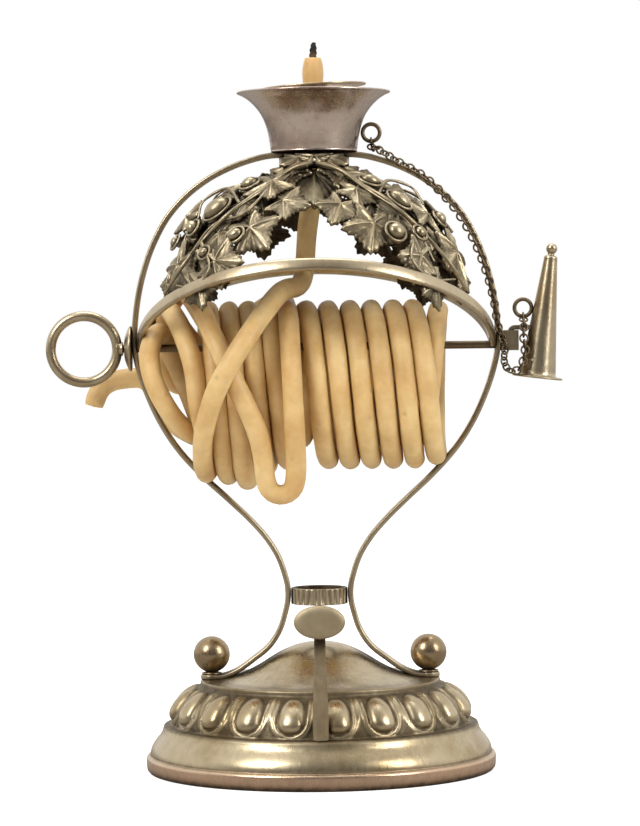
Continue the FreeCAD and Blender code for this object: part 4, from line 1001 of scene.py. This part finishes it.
def vine_leaf(x, z, heading, size, curl=0.5, depth=0.0, narrow=1.0, heart=6.0):
    """Vine leaf: R(a) has five lobes and a saw edge, the height is a cup with a ridged vein down each lobe."""
    centre, normal, ahead, across = globe_frame(x, z, heading, depth, heart)
    columns, rows = 130, 9
    a = np.arange(columns) * TAU / columns
    lobes = 0.77 + 0.16 * np.cos(5 * a) + 0.12 * np.cos(a) + 0.03 * np.cos(10 * a)
    notch = 1 - 0.45 * np.exp(-((np.abs(a - math.pi)) / 0.30) ** 2)
    saw = 1 + 0.065 * (np.abs(((a * 26 / TAU) % 1.0) - 0.5) * 4 - 1)
    edge = size * lobes * notch * saw
    rho = np.linspace(0.03, 1.0, rows)[:, None]
    u = edge * rho * np.cos(a)
    v = edge * rho * np.sin(a) * narrow
    vein = np.abs(((a * 5 / TAU + 0.5) % 1.0) - 0.5) * TAU / 5
    ridge = np.exp(-(vein * rho * 3.2) ** 2 / 0.05) * (1 - 0.6 * rho)
    side_veins = 0.5 + 0.5 * np.cos(rho * 30 - vein * 9)
    crease = np.clip(vein / (TAU / 10), 0, 1)
    height = (0.50 * ridge + 0.16 * side_veins * rho * (1 - rho * 0.3) - 0.35 * crease * rho
              + curl * 0.9 * (0.3 - rho ** 2) + 0.35 * np.sin(2 * a + size) * rho ** 2)
    height = height * size / 6.5
    bend = (u ** 2 + v ** 2) / (2 * 40.0)
    top = centre + ahead * u[..., None] + across * v[..., None] + normal * (height - bend)[..., None]
    bottom = top - normal * LEAF_THICKNESS
    points = np.concatenate([top, bottom[::-1]], 0)
    points[0] = points[0].mean(0)
    points[-1] = points[-1].mean(0)
    # painted shade: darker in the creases and between the side veins, lighter on the ridges, and dark over the
    # whole underside
    hollows = 0.75 * crease * (0.4 + 0.6 * rho) + 0.35 * (1 - side_veins)
    painted_shade_top = np.clip(hollows - 0.9 * ridge, 0, 1) * 0.85
    painted_shade = np.concatenate([painted_shade_top, np.full_like(painted_shade_top, 0.9)], 0)
    return points.reshape(-1, 3), grid_faces(2 * rows, columns, False, True), painted_shade.ravel()


def grape(x, z, long, wide, turn, depth=0.9):
    """Smooth oval berry half sunk in the leaves, with a raised curl of stem round its foot."""
    centre, normal, ahead, across = globe_frame(x, z, turn, depth, 6.0)
    u = np.linspace(-math.pi / 2, math.pi / 2, 18)[:, None]
    v = np.arange(32)[None, :] * TAU / 32
    points = (centre + ahead * (long * np.cos(u) * np.cos(v))[..., None]
              + across * (wide * np.cos(u) * np.sin(v))[..., None]
              + normal * (0.85 * wide * np.sin(u) * np.ones_like(v))[..., None])
    # painted shade: darker towards the foot where the berry sinks into the leaves
    painted_shade = (0.75 * (1 - smoothstep(-0.2, 0.75, np.sin(u))) * np.ones_like(v)).ravel()
    parts = [(points.reshape(-1, 3), grid_faces(18, 32, False, True), painted_shade)]
    a = np.arange(48) * TAU / 48
    b = np.arange(8) * TAU / 8
    loop = (centre - normal * 0.25 + ahead * ((long + 0.55) * np.cos(a))[:, None]
            + across * ((wide + 0.55) * np.sin(a))[:, None])
    outward_way = ahead * np.cos(a)[:, None] + across * np.sin(a)[:, None]
    ring = loop[:, None] + 0.34 * (outward_way[:, None] * np.cos(b)[None, :, None]
                                   + normal * np.sin(b)[None, :, None])
    parts.append((ring.reshape(-1, 3), grid_faces(48, 8, True, True), np.full(48 * 8, 0.15)))
    return parts


def tendril(places, radius, depth=0.4, sides=8, count=60):
    """Round stem through places (x, z) on the globe, of radius r (1 + 0.15 sin 24t)(1 - 0.45t)."""
    line = np.array([on_globe(x, z, depth + (0.7 if k % 2 else -0.3)) for k, (x, z) in enumerate(places)])
    path = evenly(spline_through(line, 200), count)
    way, side = carried_frames(path, (0, 1, 0.1))
    t = np.linspace(0, 1, count)
    r = radius * (1 + 0.15 * np.sin(t * 24)) * (1 - 0.45 * t)
    points = around(path, way, side, r[:, None] * np.ones(sides), np.arange(sides) * TAU / sides)
    return [(points.reshape(-1, 3), grid_faces(count, sides, False, True), np.full(count * sides, 0.2))]


def garland_parts():
    """All leaves, grapes and stems of one garland, in the order of the makers' arguments."""
    leaves = [
        (-29.2, 111.0, 238, 7.4, 0.5, 0.0), (-21.2, 111.6, -12, 6.2, 0.6, 0.5),
        (-13.6, 118.6, -52, 6.6, 0.5, 0.1), (-6.6, 124.4, -25, 5.4, 0.4, -0.6),
        (-19.6, 126.2, 150, 5.4, 0.5, 0.0), (-8.9, 128.6, 200, 6.2, 0.5, 0.5),
        (-27.4, 117.6, 130, 5.6, 0.5, -0.2), (-20.4, 117.6, 200, 6.0, 0.4, -0.8),
        (-14.8, 124.2, 160, 5.6, 0.4, -0.8), (0.0, 130.6, 270, 9.4, 0.5, -1.4, 1.0, 25.0),
        (-3.4, 134.0, 120, 4.6, 0.4, -0.2, 0.9, 26.0), (3.4, 134.0, 60, 4.6, 0.4, -0.2, 0.9, 26.0),
        (0.0, 134.4, 90, 4.8, 0.4, 0.3, 0.9, 26.0), (-5.8, 131.2, 222, 6.4, 0.5, -0.8, 1.0, 22.0),
        (5.8, 131.2, -42, 6.4, 0.5, -0.8, 1.0, 22.0), (-4.2, 132.4, 168, 4.6, 0.4, 0.2, 0.9, 26.0),
        (4.2, 132.4, 12, 4.6, 0.4, 0.2, 0.9, 26.0), (-24.0, 119.0, 172, 6.0, 0.4, -1.7),
        (-16.6, 121.8, -150, 6.2, 0.4, -1.8), (-11.2, 124.8, -138, 5.6, 0.4, -1.7),
        (23.4, 117.0, -20, 6.0, 0.4, -1.7), (17.8, 123.4, -30, 6.0, 0.4, -1.8),
        (12.2, 124.2, -60, 5.6, 0.4, -1.7), (-25.2, 112.8, -130, 5.8, 0.4, -1.6),
        (27.2, 115.2, -100, 5.8, 0.4, -1.6), (-31.8, 107.2, 236, 4.8, 0.4, -0.8, 0.9),
        (32.0, 107.2, -60, 4.4, 0.4, -0.8, 0.9), (-27.6, 121.4, 140, 4.8, 0.5, -0.3),
        (-24.6, 106.4, 200, 5.2, 0.4, -0.5), (10.6, 130.0, 20, 5.8, 0.5, 0.2),
        (5.6, 123.4, -110, 5.4, 0.4, -0.6), (12.4, 119.2, -105, 6.8, 0.5, 0.0),
        (22.4, 112.2, -120, 6.2, 0.5, 0.5, 0.85), (24.2, 121.4, 60, 5.8, 0.5, 0.0),
        (30.2, 113.2, -78, 8.2, 0.5, 0.2, 0.72), (19.0, 126.0, 35, 5.6, 0.5, 0.0),
        (17.6, 121.0, -150, 5.8, 0.4, -0.8), (25.6, 106.4, -80, 5.2, 0.4, -0.4, 0.9),
        (8.8, 126.8, -20, 5.6, 0.4, -0.2)]
    grapes = [(-21.1, 123.1, 3.1, 2.2, 12), (-14.0, 128.6, 1.8, 1.4, 0), (-26.4, 119.2, 1.3, 1.7, 0),
              (-17.1, 117.3, 1.7, 1.25, 20), (12.1, 128.9, 2.1, 1.35, 8), (18.3, 124.6, 2.6, 1.6, -38),
              (17.3, 117.6, 1.9, 1.8, 0), (27.2, 120.6, 1.5, 1.4, 0), (-30.4, 116.2, 1.2, 1.0, 60),
              (22.6, 117.4, 1.3, 1.2, 0), (-23.8, 113.6, 1.1, 1.0, 0)]
    stems = [[(0.0, 133.0), (-5.0, 131.6), (-11.0, 127.0), (-17.6, 122.4), (-23.6, 116.6), (-28.6, 110.4),
             (-32.4, 104.8)], [(0.0, 133.0), (5.4, 131.2), (11.6, 126.6), (18.2, 122.0), (24.0, 116.4),
             (28.8, 110.6), (32.4, 104.8)], [(-9.0, 128.0), (-15.0, 121.8), (-21.6, 119.6),
             (-26.6, 113.4)], [(9.0, 128.6), (15.6, 124.4), (21.4, 118.6), (25.4, 111.0)],
             [(-24.4, 116.0), (-22.4, 110.4), (-25.4, 106.2), (-29.6, 106.6)], [(-16.0, 124.0),
             (-18.8, 127.6), (-24.0, 125.0), (-25.2, 121.0)], [(22.6, 118.4), (20.4, 112.0),
             (24.6, 107.4), (29.8, 107.2)], [(13.6, 125.4), (15.8, 128.8), (21.0, 127.4), (23.6, 123.6)]]
    parts = [vine_leaf(*leaf) for leaf in leaves]
    for one in grapes:
        parts += grape(*one)
    for k, places in enumerate(stems):
        parts += tendril(places, 0.66 if k < 2 else 0.42)
    return parts


def garlands():
    """Front garland, and the rear one turned half a turn about Z."""
    parts = garland_parts()
    for name, node, turn in (("vine_front", "garland_front", 1.0), ("vine_rear", "garland_rear", -1.0)):
        piece = joined(name, [(p * np.array([turn, turn, 1.0]), f) for p, f, g in parts])
        # painted shade of every leaf, grape and stem, stored per point
        give_values(piece, "painted_shade", np.concatenate([g for p, f, g in parts]))
        outward_each(piece)
        finish_with(piece, VINE)
        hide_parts(node)


for make in (foot, straps, ball_screws, waist_ring, arches, drip_pan, drip_disc, eye_rings, extinguisher,
             spindle_parts, scroll_handle, thumb_piece, chain, garlands):
    make()
